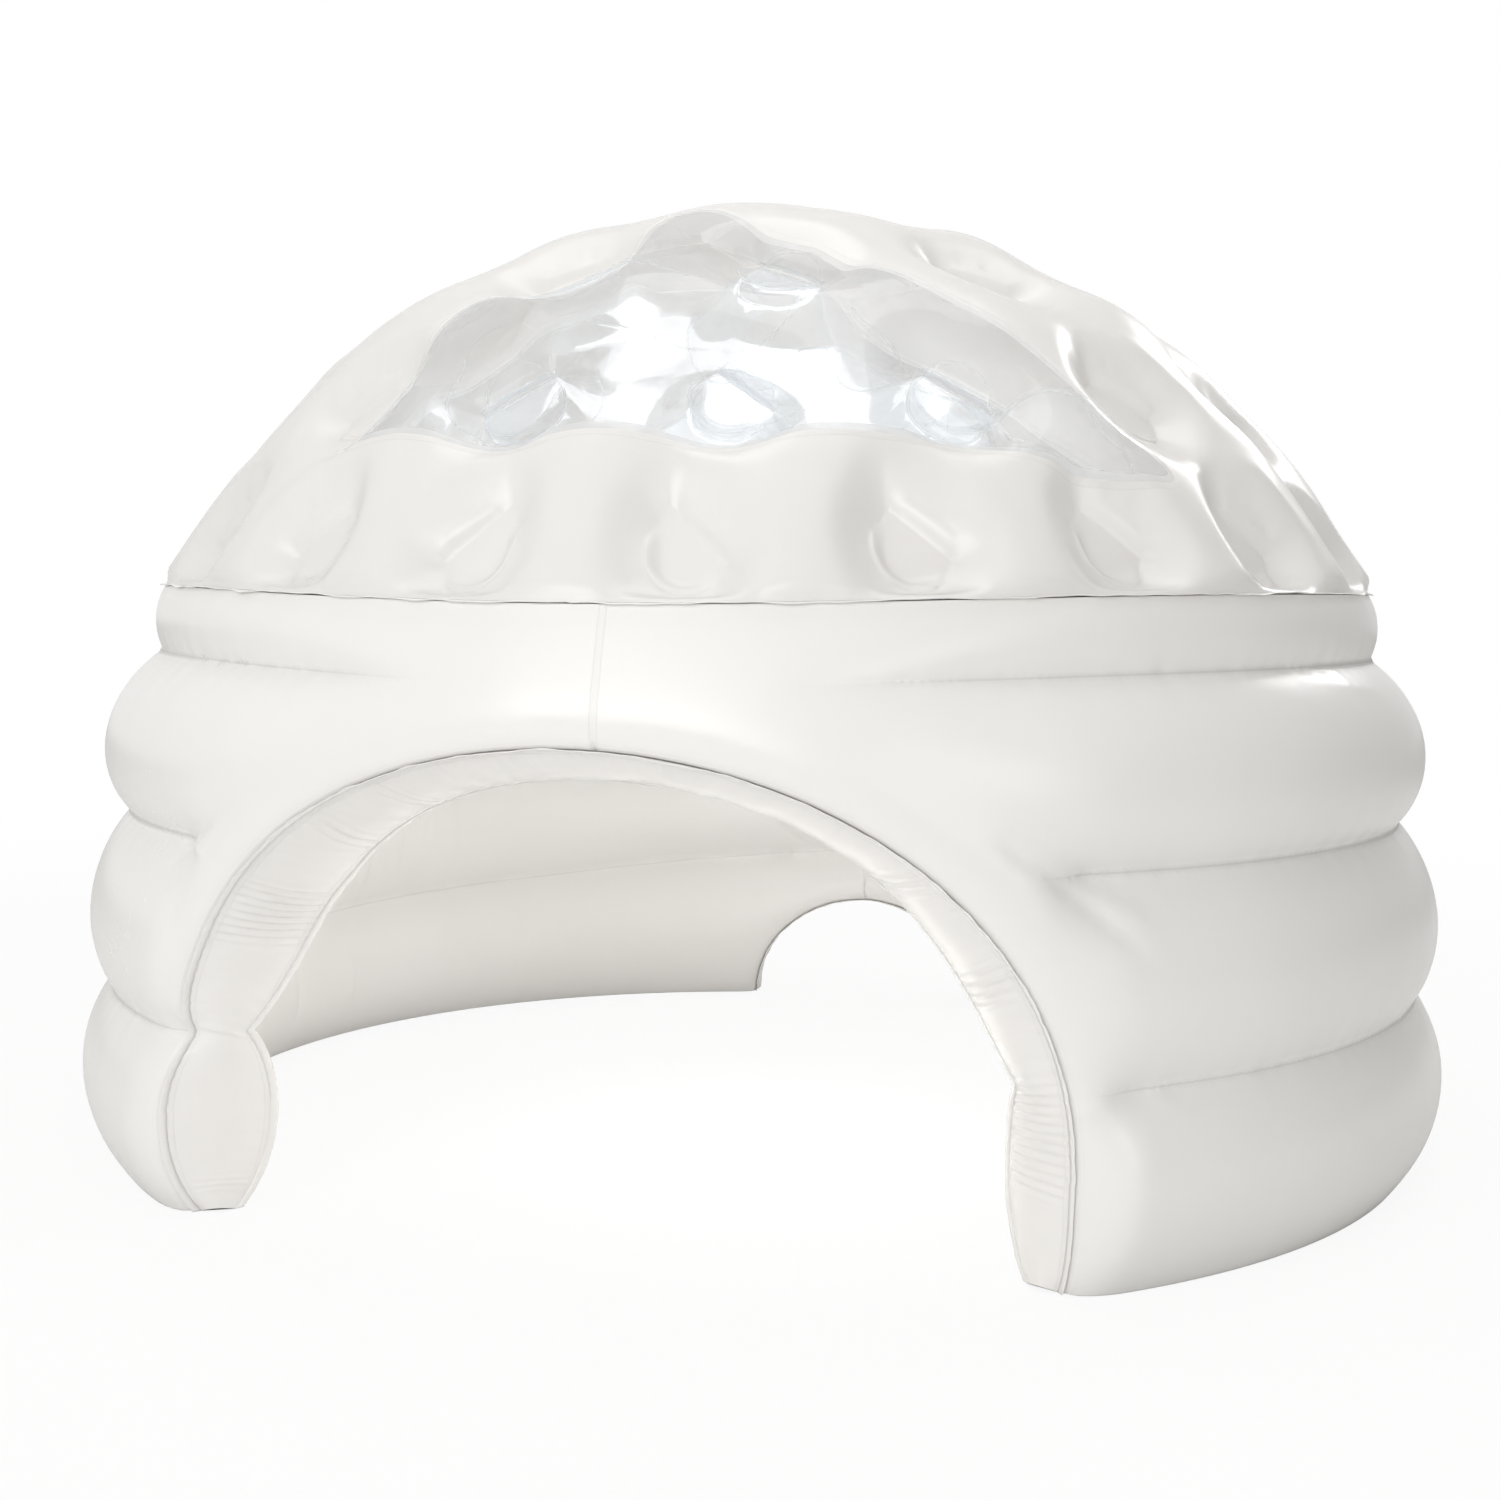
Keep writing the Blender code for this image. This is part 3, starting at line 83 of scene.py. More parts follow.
class Signal:
    """A shader socket that takes part in arithmetic; numbers and other sockets join it in Math nodes."""

    def __init__(self, tree, socket=None):
        self.tree = tree
        self.socket = socket

    def node(self, kind, settings=(), values=(), output=0):
        """Adds any node: its settings first, then the values or links of its sockets."""
        made = self.tree.nodes.new(kind)
        for key, value in dict(settings).items():
            if key == "stops":
                while len(made.color_ramp.elements) < len(value):
                    made.color_ramp.elements.new(1.0)
                for stop, (place, colour) in zip(made.color_ramp.elements, value):
                    stop.position = place
                    stop.color = colour
            else:
                setattr(made, key, value)
        for key, value in dict(values).items():
            if isinstance(value, Signal):
                self.tree.links.new(value.socket, made.inputs[key])
            else:
                made.inputs[key].default_value = value
        return Signal(self.tree, made.outputs[output] if made.outputs else None)

    def math(self, operation, *terms):
        return self.node("ShaderNodeMath", {"operation": operation}, dict(enumerate(terms)))

    def __add__(self, other):
        return self.math("ADD", self, other)

    def __sub__(self, other):
        return self.math("SUBTRACT", self, other)

    def __mul__(self, other):
        return self.math("MULTIPLY", self, other)

    def __rsub__(self, other):
        return self.math("SUBTRACT", other, self)

    __radd__ = __add__
    __rmul__ = __mul__

    def size(self):
        return self.math("ABSOLUTE", self)

    def most(self, other):
        """The larger of this and another."""
        return self.math("MAXIMUM", self, other)

    def step(self, low, high):
        """Smooth step from 0 at low to 1 at high."""
        return self.node("ShaderNodeMapRange", {"interpolation_type": "SMOOTHSTEP"},
                         {"Value": self, "From Min": low, "From Max": high})

    def line(self, width):
        """1 where this distance is nought, 0 from the width on."""
        return 1 - self.size().step(width * 0.35, width)

    def mix(self, low, high):
        """A colour between two, by this factor."""
        return self.node("ShaderNodeMix", {"data_type": "RGBA"}, {0: self, 6: low, 7: high}, 2)

    def axis(self, name):
        return self.node("ShaderNodeSeparateXYZ", (), {0: self}, name)

    def grain(self, scale, detail=2.0, roughness=0.5):
        """Noise at a number of lumps per metre, over this vector."""
        return self.node("ShaderNodeTexNoise", {"noise_dimensions": "3D"},
                         {"Vector": self, "Scale": scale, "Detail": detail, "Roughness": roughness}, "Fac")

    def relief(self, strength, distance):
        """A normal bent by this height."""
        return self.node("ShaderNodeBump", (), {"Strength": strength, "Distance": distance, "Height": self})

    def blend(self, share, first, second):
        """A shader between two others."""
        return self.node("ShaderNodeMixShader", (), {0: share, 1: first, 2: second})


def finish(name):
    """An empty material: its signal, its Principled shader and its output."""
    made = bpy.data.materials.new(name)
    made.use_nodes = True
    nodes = made.node_tree.nodes
    return made, Signal(made.node_tree), nodes["Principled BSDF"], nodes["Material Output"]


def light_of(shader):
    """What a shader node gives."""
    return Signal(shader.id_data, shader.outputs[0])


def wire(signal, target, socket):
    signal.tree.links.new(signal.socket, target.inputs[socket])


def dyed(colour, share=1.0):
    """An opaque colour, darkened to a share of itself."""
    return (*(part * share for part in colour), 1.0)


def white_film(name, tint, weld=None, passes=0.0):
    """Glossy off-white PVC film. weld gives the masks of what is pressed in and of the dark lines, which are
    weld edges and painted shade in creases and under dimple rims; passes is its translucence.
    """
    made, signal, shader, output = finish(name)
    place = signal.node("ShaderNodeTexCoord", output="Object")
    cloud = place.grain(2.2, 3.0)
    speck = place.grain(26.0, 3.0, 0.55)
    deep = tuple(part * share for part, share in zip(tint, (0.984, 0.979, 0.972)))
    colour = cloud.step(0.25, 0.75).mix(dyed(deep), dyed(tint, 1.006))
    height = place.grain(8.0, 2.0) * 0.5 + speck * 0.012
    rough = 0.225 + speck * 0.02 + cloud * 0.05
    if weld:
        pressed, edge = weld(signal)
        colour = (pressed * 0.35).mix(colour, dyed(tint, 0.94))
        # Dark lines: weld edges, and painted shade along the ring creases and under the dimples' lower rims
        colour = (edge * 0.7).mix(colour, (0.56, 0.55, 0.535, 1.0))
        height = height + edge * -0.55 + pressed * 0.10
        rough = rough + pressed * 0.10
    wire(colour, shader, "Base Color")
    wire(rough, shader, "Roughness")
    wire(height.relief(0.35, 0.0022), shader, "Normal")
    shader.inputs["IOR"].default_value = 1.53
    if passes:
        through = signal.node("ShaderNodeBsdfTranslucent", (), {"Color": dyed(tint)})
        wire(signal.blend(passes, light_of(shader), through), output, "Surface")
    return made


def around(angle, radius, height):
    """Points at angles from the front arch's middle."""
    angle, radius, height = np.broadcast_arrays(angle, radius, height)
    return np.stack([radius * np.sin(angle), -radius * np.cos(angle), height], -1)


def ease(share):
    share = np.clip(share, 0.0, 1.0)
    return share * share * (3 - 2 * share)


def shoulder(share):
    """Quarter circle from 0 to 1, as a film rolls over at a seam."""
    return np.sqrt(1 - (1 - np.clip(share, 0.0, 1.0)) ** 2)


def settled(points):
    """Lowers the dome seam, and less what is above and below it, over the front arch."""
    angle = np.arctan2(points[:, 0], -points[:, 1])
    bell = np.exp(-(angle / SAG_ANGLE) ** 2)
    rise = 1 - np.abs(points[:, 2] - SEAM_HEIGHT) / SAG_REACH
    moved = points.copy()
    moved[:, 2] -= SEAM_SAG * bell * ease(rise)
    return moved


def rough_noise(places, scale, seed):
    """Smooth noise from -1 to 1 at many places, whose coordinates stand on the last axis."""
    scaled = places * scale + seed
    flat = scaled.reshape(-1, scaled.shape[-1])
    if flat.shape[1] == 2:
        flat = np.column_stack([flat, np.full(len(flat), seed)])
    return np.array([noise.noise(Vector(place)) for place in flat]).reshape(scaled.shape[:-1])


def whole_turn(count):
    """Angles spread evenly over a full turn."""
    return np.linspace(0, 2 * math.pi, count, endpoint=False)


def circle(turns):
    """Points at angles on a circle of radius 1."""
    return np.stack([np.cos(turns), np.sin(turns)], -1)


def runs_of(line):
    """Lengths along a line of points from its start, on a chart or in space."""
    steps = np.diff(line, axis=0)
    lengths = np.hypot(*steps.T) if line.shape[1] == 2 else np.linalg.norm(steps, axis=1)
    return np.concatenate([[0.0], np.cumsum(lengths)])


def piece(name, points, faces, material, nodes=(), body="tent", attributes=()):
    """One named film piece, moved with the tent's axis, riding on its body and standing for its CAD nodes."""
    mesh = bpy.data.meshes.new(name)
    shifted = np.asarray(points, float) - (0.0, AXIS_FORWARD, 0.0)
    mesh.from_pydata(shifted.tolist(), [], [tuple(map(int, face)) for face in faces])
    for key, values in dict(attributes).items():
        data = np.zeros((len(shifted), 3))
        values = np.asarray(values, float).reshape(len(shifted), -1)
        data[:, :values.shape[1]] = values
        mesh.attributes.new(key, "FLOAT_VECTOR", "POINT").data.foreach_set("vector", data.ravel())
    mesh.materials.append(material)
    mesh.shade_smooth()
    made = bpy.data.objects.new(name, mesh)
    bpy.context.collection.objects.link(made)
    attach(made, body)
    if nodes:
        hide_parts(*nodes)
    return made


def grid_faces(rows, columns, closed=False):
    """Quads of a grid stored row by row; closed joins the last row to the first."""
    faces = []
    for row in range(rows if closed else rows - 1):
        here = row * columns
        there = ((row + 1) % rows) * columns
        faces += [(here + k, here + k + 1, there + k + 1, there + k) for k in range(columns - 1)]
    return faces


def attribute(signal, name):
    return signal.node("ShaderNodeAttribute", {"attribute_name": name}, output="Vector")


LEG_POINTS = 14


class Arch:
    """An arched opening: its outlines in both skins, and how the skins roll in to them."""

    def __init__(self, middle, half_angles, heights, rise_from, lip, lip_width):
        self.middle = middle * CHART_RADIUS
        self.half = [math.radians(angle) * CHART_RADIUS for angle in half_angles]
        self.heights = heights
        self.rise_from = rise_from
        self.lip = lip
        self.lip_width = lip_width
        self.curves = [self.outline(skin, LEG_POINTS, 96) for skin in (OUTER, INNER)]

    def outline(self, skin, legs, steps):
        """The outline from the foot at the smaller angle to the other foot."""
        turns = np.linspace(0, math.pi, steps + 1)
        rise = self.heights[skin] - self.rise_from
        across = self.middle - self.half[skin] * np.cos(turns)
        curve = np.stack([across, self.rise_from + rise * np.sin(turns)], -1)
        leg = np.linspace(FOOT, self.rise_from, legs, endpoint=False)
        first = np.stack([np.full(legs, curve[0, 0]), leg], -1)
        last = np.stack([np.full(legs, curve[-1, 0]), leg[::-1]], -1)
        return np.concatenate([first, curve, last])

    def distance(self, u, v, skin):
        """Distance on the chart to the outline, and the nearest length along it."""
        curve = self.curves[skin]
        start, along = curve[:-1], np.diff(curve, axis=0)
        lengths = np.hypot(*along.T)
        runs = runs_of(curve)
        near = np.full(len(u), np.inf)
        run = np.zeros(len(u))
        for k in range(len(start)):
            du, dv = u - start[k, 0], v - start[k, 1]
            share = np.clip((du * along[k, 0] + dv * along[k, 1]) / lengths[k] ** 2, 0.0, 1.0)
            off = np.hypot(du - share * along[k, 0], dv - share * along[k, 1])
            closer = off < near
            near = np.where(closer, off, near)
            run = np.where(closer, runs[k] + share * lengths[k], run)
        return near, run


# Each arch's middle, half its angle and its height in both skins, its legs' height, and its rolled lip
FRONT = Arch(0.0, (35.4, 34.2), (0.622, 0.578), 0.13, 0.030, 0.070)
REAR = Arch(math.pi, (14.8, 14.6), (0.212, 0.195), 0.010, 0.018, 0.050)


def ringed(height, radii, bulges, levels, side):
    """Radius of a skin pinched into rings by the webs."""
    level = np.clip(np.searchsorted(levels, height, side="right") - 1, 0, len(bulges) - 1)
    length = (levels[1:] - levels[:-1])[level]
    share = np.clip((height - levels[level]) / length, 0.0, 1.0)
    chord = radii[level] + (radii[level + 1] - radii[level]) * share
    half, bulge = length / 2, bulges[level]
    arc = (half ** 2 + bulge ** 2) / (2 * bulge)
    rise = np.sqrt(np.maximum(arc ** 2 - ((2 * share - 1) * half) ** 2, 0.0)) - (arc - bulge)
    return chord + side * rise


def smooth_facade(height, radii, levels, side):
    """Radius of the skin beside and over the front arch, where no web holds it."""
    share = np.clip(height / levels[-1], 0.0, 1.0)
    half = levels[-1] / 2
    arc = (half ** 2 + FACADE_BULGE ** 2) / (2 * FACADE_BULGE)
    rise = np.sqrt(arc ** 2 - ((2 * share - 1) * half) ** 2) - (arc - FACADE_BULGE)
    return radii[0] + (radii[-1] - radii[0]) * share + side * rise


# Angles, in degrees, at which each crease has faded out and at which it has its full depth, on each side
FADE_HEIGHTS = (0.0, 0.234, 0.476, 0.701, 0.792)
RIGHT_FADES = ((33.0, 35.5, 31.5, 14.0, 30.0), (38.0, 40.5, 37.0, 38.0, 40.0))
LEFT_FADES = ((30.0, 33.0, 30.0, 8.0, 26.0), (33.0, 35.5, 36.0, 26.0, 35.0))
INNER_FADE = (24.0, 33.0)
# How far the lower crease of the inner skin rises, by the angle from the front arch, up to over the rear arch
INNER_RISE_ANGLES = (35.0, 90.0, 138.0, 180.0)
INNER_RISES = (-0.005, -0.018, 0.012, 0.060)


def crease_share(angle, height, skin):
    """How much of the ringed shape shows at a place."""
    turned = np.degrees((angle + math.pi) % (2 * math.pi) - math.pi)
    if skin == INNER:
        return ease((np.abs(turned) - INNER_FADE[0]) / (INNER_FADE[1] - INNER_FADE[0]))
    share = 0.0
    for on_side, fades in ((turned >= 0, RIGHT_FADES), (turned < 0, LEFT_FADES)):
        ends, starts = (np.interp(height, FADE_HEIGHTS, row) for row in fades)
        share = share + on_side * ease((np.abs(turned) - ends) / (starts - ends))
    return share


def unrisen(angle, height):
    """The height that a place of the inner skin would have if its lower crease were level."""
    turned = np.degrees(np.abs((angle + math.pi) % (2 * math.pi) - math.pi))
    rise = np.interp(turned, INNER_RISE_ANGLES, INNER_RISES)
    crease = LEVELS[1] + rise
    below = height * LEVELS[1] / crease
    above = LEVELS[1] + (height - crease) * (LEVELS[2] - LEVELS[1]) / (LEVELS[2] - crease)
    return np.where(height < crease, below, np.where(height < LEVELS[2], above, height))


def wall_radius(angle, height, skin):
    """Radius of a wall skin without its fine folds."""
    radii = (OUTER_RADII, INNER_RADII)[skin]
    levels = (LEVELS, INNER_LEVELS)[skin]
    side = (1, -1)[skin]
    share = crease_share(angle, height, skin)
    u = (angle % (2 * math.pi)) * CHART_RADIUS
    place = height
    if skin == INNER:
        height = unrisen(angle, height)
    radius = share * ringed(height, radii, (OUTER_BULGES, INNER_BULGES)[skin], levels, side)
    radius = radius + (1 - share) * smooth_facade(height, radii, levels, side)
    for arch, along in ((FRONT, np.where(u > HALF_TURN, u - 2 * HALF_TURN, u)), (REAR, u)):
        near, _ = arch.distance(along, place, skin)
        radius = radius - side * arch.lip * (1 - shoulder(near / arch.lip_width))
    return radius


def film_ring(name, inner, outer, across, closed, material, node):
    """A flat strip of film round the tent between two curves of points."""
    shares = np.linspace(0, 1, across)[None, :, None]
    points = inner[:, None, :] * (1 - shares) + outer[:, None, :] * shares
    piece(name, points.reshape(-1, 3), grid_faces(len(inner), across, closed), material, [node])


BASE_STEPS = 140
inner_film = white_film("white_film_inside", (0.866, 0.857, 0.842))
front_feet = [FRONT.half[skin] / CHART_RADIUS for skin in (OUTER, INNER)]
rear_feet = [math.pi - REAR.half[skin] / CHART_RADIUS for skin in (OUTER, INNER)]
for side, name in SIDES:
    edges = []
    for skin in (INNER, OUTER):
        angles = side * np.linspace(front_feet[skin], rear_feet[skin], BASE_STEPS)
        foot = np.full(BASE_STEPS, FOOT)
        edges.append(settled(around(angles, wall_radius(angles, foot, skin), foot - GAP)))
    film_ring(f"{name}_base_film", *edges, 3, False, inner_film, f"base_strip_{name}")

# Outer wall: a right and a left panel of film that meet in an upright weld over each arch. Webs inside pinch
# it into three rings and a collar. Round the front arch no web holds it, so it stands there in one face.
FRONT_WELD = math.radians(2.3) * CHART_RADIUS
WELD_DEPTH = 0.0003
COLUMN_STEP = 0.012
ARCH_BERTH = 0.027
ARCH_ROWS = (0.003, 0.007, 0.012, 0.018)
ARCH_ROW_STEP = 0.007
CREASE_REACH = 0.050
WALL_SPOT_ANGLE = math.radians(155)
SPOT_REACH = 0.045
SPOT_DEPTH = 0.003
NECK_HOLE = 0.0218


def ring_rows(levels, top, counts):
    """Heights of the mesh rows of a skin, closer together towards the creases."""
    rows = []
    for low, high, count in zip(levels[:-1], levels[1:], counts):
        share = np.arange(count) / count
        rows += list(low + (high - low) * (0.4 * share + 0.3 * (1 - np.cos(math.pi * share))))
    return [row for row in rows[1:] if FOOT + 0.003 < row < top - 0.003]


def tiled(outline, holes, fill, clear):
    """Fine triangles inside an outline and outside its holes, through the fill that stands clear of both."""
    points = []
    loops = []
    for loop in [outline] + holes:
        loops.append(list(range(len(points), len(points) + len(loop))))
        points.extend(tuple(map(float, spot)) for spot in loop)
    tree = kdtree.KDTree(len(points))
    for index, spot in enumerate(points):
        tree.insert((*spot, 0.0), index)
    tree.balance()
    points.extend((float(p), float(q)) for p, q in fill if tree.find((p, q, 0.0))[2] > clear)
    made = delaunay_2d_cdt([Vector(spot) for spot in points], [], loops, 1, 1e-6)
    faces = [face for face, source in zip(made[2], made[5]) if source == [0]]
    used = sorted({index for face in faces for index in face})
    numbers = {index: number for number, index in enumerate(used)}
    chart = np.array([made[0][index] for index in used])
    return chart, [tuple(numbers[index] for index in face) for face in faces]


def beside(curve, distance, step):
    """Points beside a curve, on its left, a step apart."""
    along = np.diff(curve, axis=0)
    runs = runs_of(curve)
    wanted = np.arange(step / 2, runs[-1], step)
    spots = np.stack([np.interp(wanted, runs, curve[:, k]) for k in (0, 1)], -1)
    index = np.clip(np.searchsorted(runs, wanted) - 1, 0, len(along) - 1)
    heading = along[index] / np.maximum(np.hypot(*along[index].T), 1e-9)[:, None]
    return spots + np.stack([-heading[:, 1], heading[:, 0]], -1) * distance


def fold_rise(u, v, folds):
    """Height of the small folds in a film: each a line on the chart with a width and a height."""
    rise = np.zeros(len(u))
    for angle, height, end_angle, end_height, width, depth in folds:
        start = np.array([math.radians(angle) * CHART_RADIUS, height])
        along = np.array([math.radians(end_angle) * CHART_RADIUS, end_height]) - start
        share = ((u - start[0]) * along[0] + (v - start[1]) * along[1]) / (along @ along)
        held = np.clip(share, 0.0, 1.0)
        off = np.hypot(u - start[0] - held * along[0], v - start[1] - held * along[1])
        rise += depth * np.exp(-(off / width) ** 2) * np.sqrt(np.sin(math.pi * np.clip(share, 0.02, 0.98)))
    return rise


def fold_points(folds):
    """Mesh points along the folds, close enough together to show them."""
    spots = []
    for angle, height, end_angle, end_height, width, _ in folds:
        line = np.array([(math.radians(angle) * CHART_RADIUS, height),
                         (math.radians(end_angle) * CHART_RADIUS, end_height)])
        for offset in (-1.6, -0.8, 0.0, 0.8, 1.6):
            spots += list(beside(line, offset * width, width))
    return spots


def panel_outline(skin, side, top):
    """Edge of a half of the wall, from the weld over the front arch round to the weld over the rear arch."""
    weld = side * FRONT_WELD
    front = FRONT.curves[skin]
    crossing = np.interp(weld, *front[LEG_POINTS:-LEG_POINTS].T)
    front = np.concatenate([[(weld, crossing)], front[front[:, 0] > weld + 0.004]])
    rear = REAR.curves[skin]
    rear = np.concatenate([rear[rear[:, 0] < HALF_TURN - 0.004], [(HALF_TURN, REAR.heights[skin])]])
    floor = np.arange(front[-1, 0] + COLUMN_STEP, rear[0, 0] - COLUMN_STEP / 2, COLUMN_STEP)
    upper = np.arange(HALF_TURN, weld + COLUMN_STEP / 2, -COLUMN_STEP)
    rise = np.arange(REAR.heights[skin] + COLUMN_STEP, top - COLUMN_STEP / 2, COLUMN_STEP)
    fall = np.arange(top - COLUMN_STEP, crossing + COLUMN_STEP / 2, -COLUMN_STEP)
    return np.concatenate([front, [(u, FOOT) for u in floor], rear, [(HALF_TURN, v) for v in rise],
                           [(u, top) for u in upper], [(weld, top)], [(weld, v) for v in fall]])


def wall_chart(skin, side, rows, folds, holes):
    """Chart and triangles of a half of the wall skin; side 1 is the half on +X."""
    top = TOPS[skin]
    outline = panel_outline(skin, side, top)
    fill = []
    for number, row in enumerate(rows):
        first = side * FRONT_WELD + COLUMN_STEP * (0.5 if number % 2 else 1.0)
        places = np.arange(first, HALF_TURN, COLUMN_STEP)
        fill.append(np.stack([places, np.full(len(places), row)], -1))
    fill = np.concatenate(fill)
    keep = np.ones(len(fill), bool)
    for arch in (FRONT, REAR):
        keep &= arch.distance(fill[:, 0], fill[:, 1], skin)[0] > ARCH_BERTH
    fill = list(fill[keep])
    for arch in (FRONT, REAR):
        for distance in ARCH_ROWS:
            fill += list(beside(arch.curves[skin], distance, ARCH_ROW_STEP))
    fill += list(np.array(fold_points(folds)) * (side, 1))
    low = np.array([side * FRONT_WELD + 0.002, FOOT + 0.002])
    high = np.array([HALF_TURN - 0.002, top - 0.002])
    fill = [spot for spot in fill if (spot > low).all() and (spot < high).all()]
    chart, faces = tiled(outline, holes, fill, 0.0022)
    chart = chart * (side, 1)
    if (skin == INNER) != (side == -1):
        faces = [face[::-1] for face in faces]
    return chart, faces


class Spot:
    """A flat round place for a valve: its middle, its outward direction, and two directions in its plane."""

    def __init__(self, angle, height, radius, rise):
        out = np.array([math.sin(angle), -math.cos(angle), 0.0])
        self.origin = out * radius + (0, 0, height)
        self.normal = out * math.cos(rise) + np.array([0, 0, math.sin(rise)])
        self.side = np.cross((0, 0, 1), self.normal)
        self.side /= np.linalg.norm(self.side)
        self.up = np.cross(self.normal, self.side)
        self.axes = np.stack([self.side, self.up, self.normal])

    def hole(self):
        """The rim of the hole that the valve's neck passes."""
        turns = whole_turn(48)[:, None]
        return self.origin + NECK_HOLE * (self.side * np.cos(turns) + self.up * np.sin(turns))

    def flattened(self, flat, radius, points, facing):
        """A skin's radius, or the spot's flat one where points that face its way are near it."""
        offset = points - self.origin
        off = np.linalg.norm(offset - (offset @ self.normal)[:, None] * self.normal, axis=1)
        off = np.where(facing > 0.5, off, 1.0)
        return flat + (radius - flat) * ease((off - SPOT_REACH + 0.004) / 0.030)


spot_height = LEVELS[1] / 2
spot_radius = float(ringed(np.array([spot_height]), OUTER_RADII, OUTER_BULGES, LEVELS, 1)[0]) - SPOT_DEPTH
WALL_SPOT = Spot(WALL_SPOT_ANGLE, spot_height, spot_radius, 0.0)

# Folds of the outer skin: from angle and height to angle and height, then width and rise
OUTER_FOLDS = ((32.5, 0.484, 39.5, 0.392, 0.011, -0.0035), (33.0, 0.497, 40.5, 0.420, 0.012, 0.0030),
               (32.0, 0.490, 29.5, 0.520, 0.008, -0.0018), (37.0, 0.240, 33.5, 0.262, 0.007, -0.0016),
               (37.5, 0.228, 34.0, 0.205, 0.008, 0.0018), (38.5, 0.250, 44.0, 0.205, 0.010, 0.0016),
               (-32.0, 0.480, -29.6, 0.505, 0.006, -0.0018), (-32.2, 0.474, -29.8, 0.462, 0.005, 0.0016),
               (-33.0, 0.470, -36.5, 0.440, 0.007, -0.0016), (-32.8, 0.226, -35.8, 0.250, 0.007, -0.0018),
               (15.0, 0.698, 35.3, 0.690, 0.006, -0.0012), (-40.6, 0.704, -19.0, 0.678, 0.010, -0.0022),
               (-19.0, 0.678, -9.9, 0.671, 0.012, -0.0014), (60.0, 0.690, 74.0, 0.668, 0.008, 0.0015))


def off_crease(u, v, skin):
    """Height over the nearest crease."""
    height = unrisen(u / CHART_RADIUS, v) if skin == INNER else v
    off = height[:, None] - (LEVELS, INNER_LEVELS)[skin][1:-1]
    return off[np.arange(len(off)), np.argmin(np.abs(off), axis=1)]


def skin_waves(u, v, skin):
    """Slow unevenness of an inflated film, and the fine puckers beside its creases."""
    places = np.stack([u, v], -1)
    slow = rough_noise(places * (1.0, 1.4), 3.1, 7.0 + skin)
    medium = rough_noise(places, 9.0, 3.0 + skin)
    off = np.abs(off_crease(u, v, skin))
    share = crease_share(u / CHART_RADIUS, v, skin)
    pucker = rough_noise(places * (1.0, 0.25), 34.0, 1.0) * np.exp(-off / 0.022)
    sideways = rough_noise(places * (1.0, 0.2), 70.0, 2.0) * np.exp(-off / 0.010)
    return 0.0022 * slow + 0.0008 * medium + share * (0.0016 * pucker + 0.0006 * sideways)


def wall_points(chart, skin, folds):
    """Places of a wall skin in space, with its folds and welds."""
    u, v = chart.T
    side = (1, -1)[skin]
    angle = u / CHART_RADIUS
    radius = wall_radius(angle, v, skin)
    near_arch = np.minimum(FRONT.distance(u, v, skin)[0],
                           REAR.distance(np.where(u < 0, u + 2 * HALF_TURN, u), v, skin)[0])
    # The skin is held still along its welds to the arches, the base and the dome
    calm = ease(near_arch / 0.020) * ease((v - FOOT) / 0.02) * ease((TOPS[skin] - v) / 0.02)
    rise = skin_waves(u, v, skin) * calm
    rise = rise + fold_rise(u, v, folds) * ease(near_arch / 0.010)
    weld = np.exp(-((u - FRONT_WELD) / 0.004) ** 2) + np.exp(-((np.abs(u) - HALF_TURN) / 0.004) ** 2)
    rise = rise - WELD_DEPTH * weld * ease(near_arch / 0.010)
    radius = radius + side * rise
    if skin == OUTER:
        facing = np.cos(angle - WALL_SPOT_ANGLE)
        flat = np.linalg.norm(WALL_SPOT.origin[:2]) / np.maximum(facing, 0.5)
        radius = WALL_SPOT.flattened(flat, radius, around(angle, flat, v), facing)
    return settled(around(angle, radius, v)), near_arch


def wall_marks(signal):
    """What shows in a wall skin: the upright welds, a dark line along the ring creases that is partly the
    webs' welds and partly painted shade in the creases, and the arch welds.
    """
    chart = attribute(signal, "chart")
    u = chart.axis("X")
    near_arch = chart.axis("Z")
    share = attribute(signal, "share")
    off_weld = signal.math("MINIMUM", (u - FRONT_WELD).size(), (u.size() - HALF_TURN).size())
    pressed = (1 - off_weld.step(0.0035, 0.0050)).most(1 - near_arch.step(0.006, 0.008))
    # Painted shade: a dark line in each ring crease, partly the web's weld
    crease = share.axis("Y").line(0.0017) * share.axis("X")
    edge = ((off_weld - 0.0045).line(0.0011) * 0.30).most(crease * 0.40)
    return pressed, edge.most(near_arch.line(0.0016) * 0.25)


def wall_marks_at(chart, near_arch, skin):
    """The attributes that the marks are drawn from."""
    nearest = off_crease(chart[:, 0], chart[:, 1], skin)
    share = crease_share(chart[:, 0] / CHART_RADIUS, chart[:, 1], skin) * (np.abs(nearest) < CREASE_REACH)
    return {"chart": np.column_stack([chart, near_arch]), "share": np.column_stack([share, nearest])}


def wall_panels(skin, label, row_counts, folds, material, right_holes):
    """The right and the left panel of a wall skin."""
    rows = ring_rows((LEVELS, INNER_LEVELS)[skin], TOPS[skin], row_counts)
    for side, name in SIDES:
        chart, faces = wall_chart(skin, side, rows, folds, right_holes if side == 1 else [])
        points, near_arch = wall_points(chart, skin, folds)
        piece(f"{name}_{label}_wall", points, faces, material, [f"wall_{label}_skin_{name}"],
              attributes=wall_marks_at(chart, near_arch, skin))


neck_rim = WALL_SPOT.hole()
neck_hole = np.stack([np.arctan2(neck_rim[:, 0], -neck_rim[:, 1]) * CHART_RADIUS, neck_rim[:, 2]], -1)
outer_film = white_film("white_film_outside", (0.868, 0.858, 0.842), wall_marks)
wall_panels(OUTER, "outer", (24, 24, 24, 12), OUTER_FOLDS, outer_film, [neck_hole])

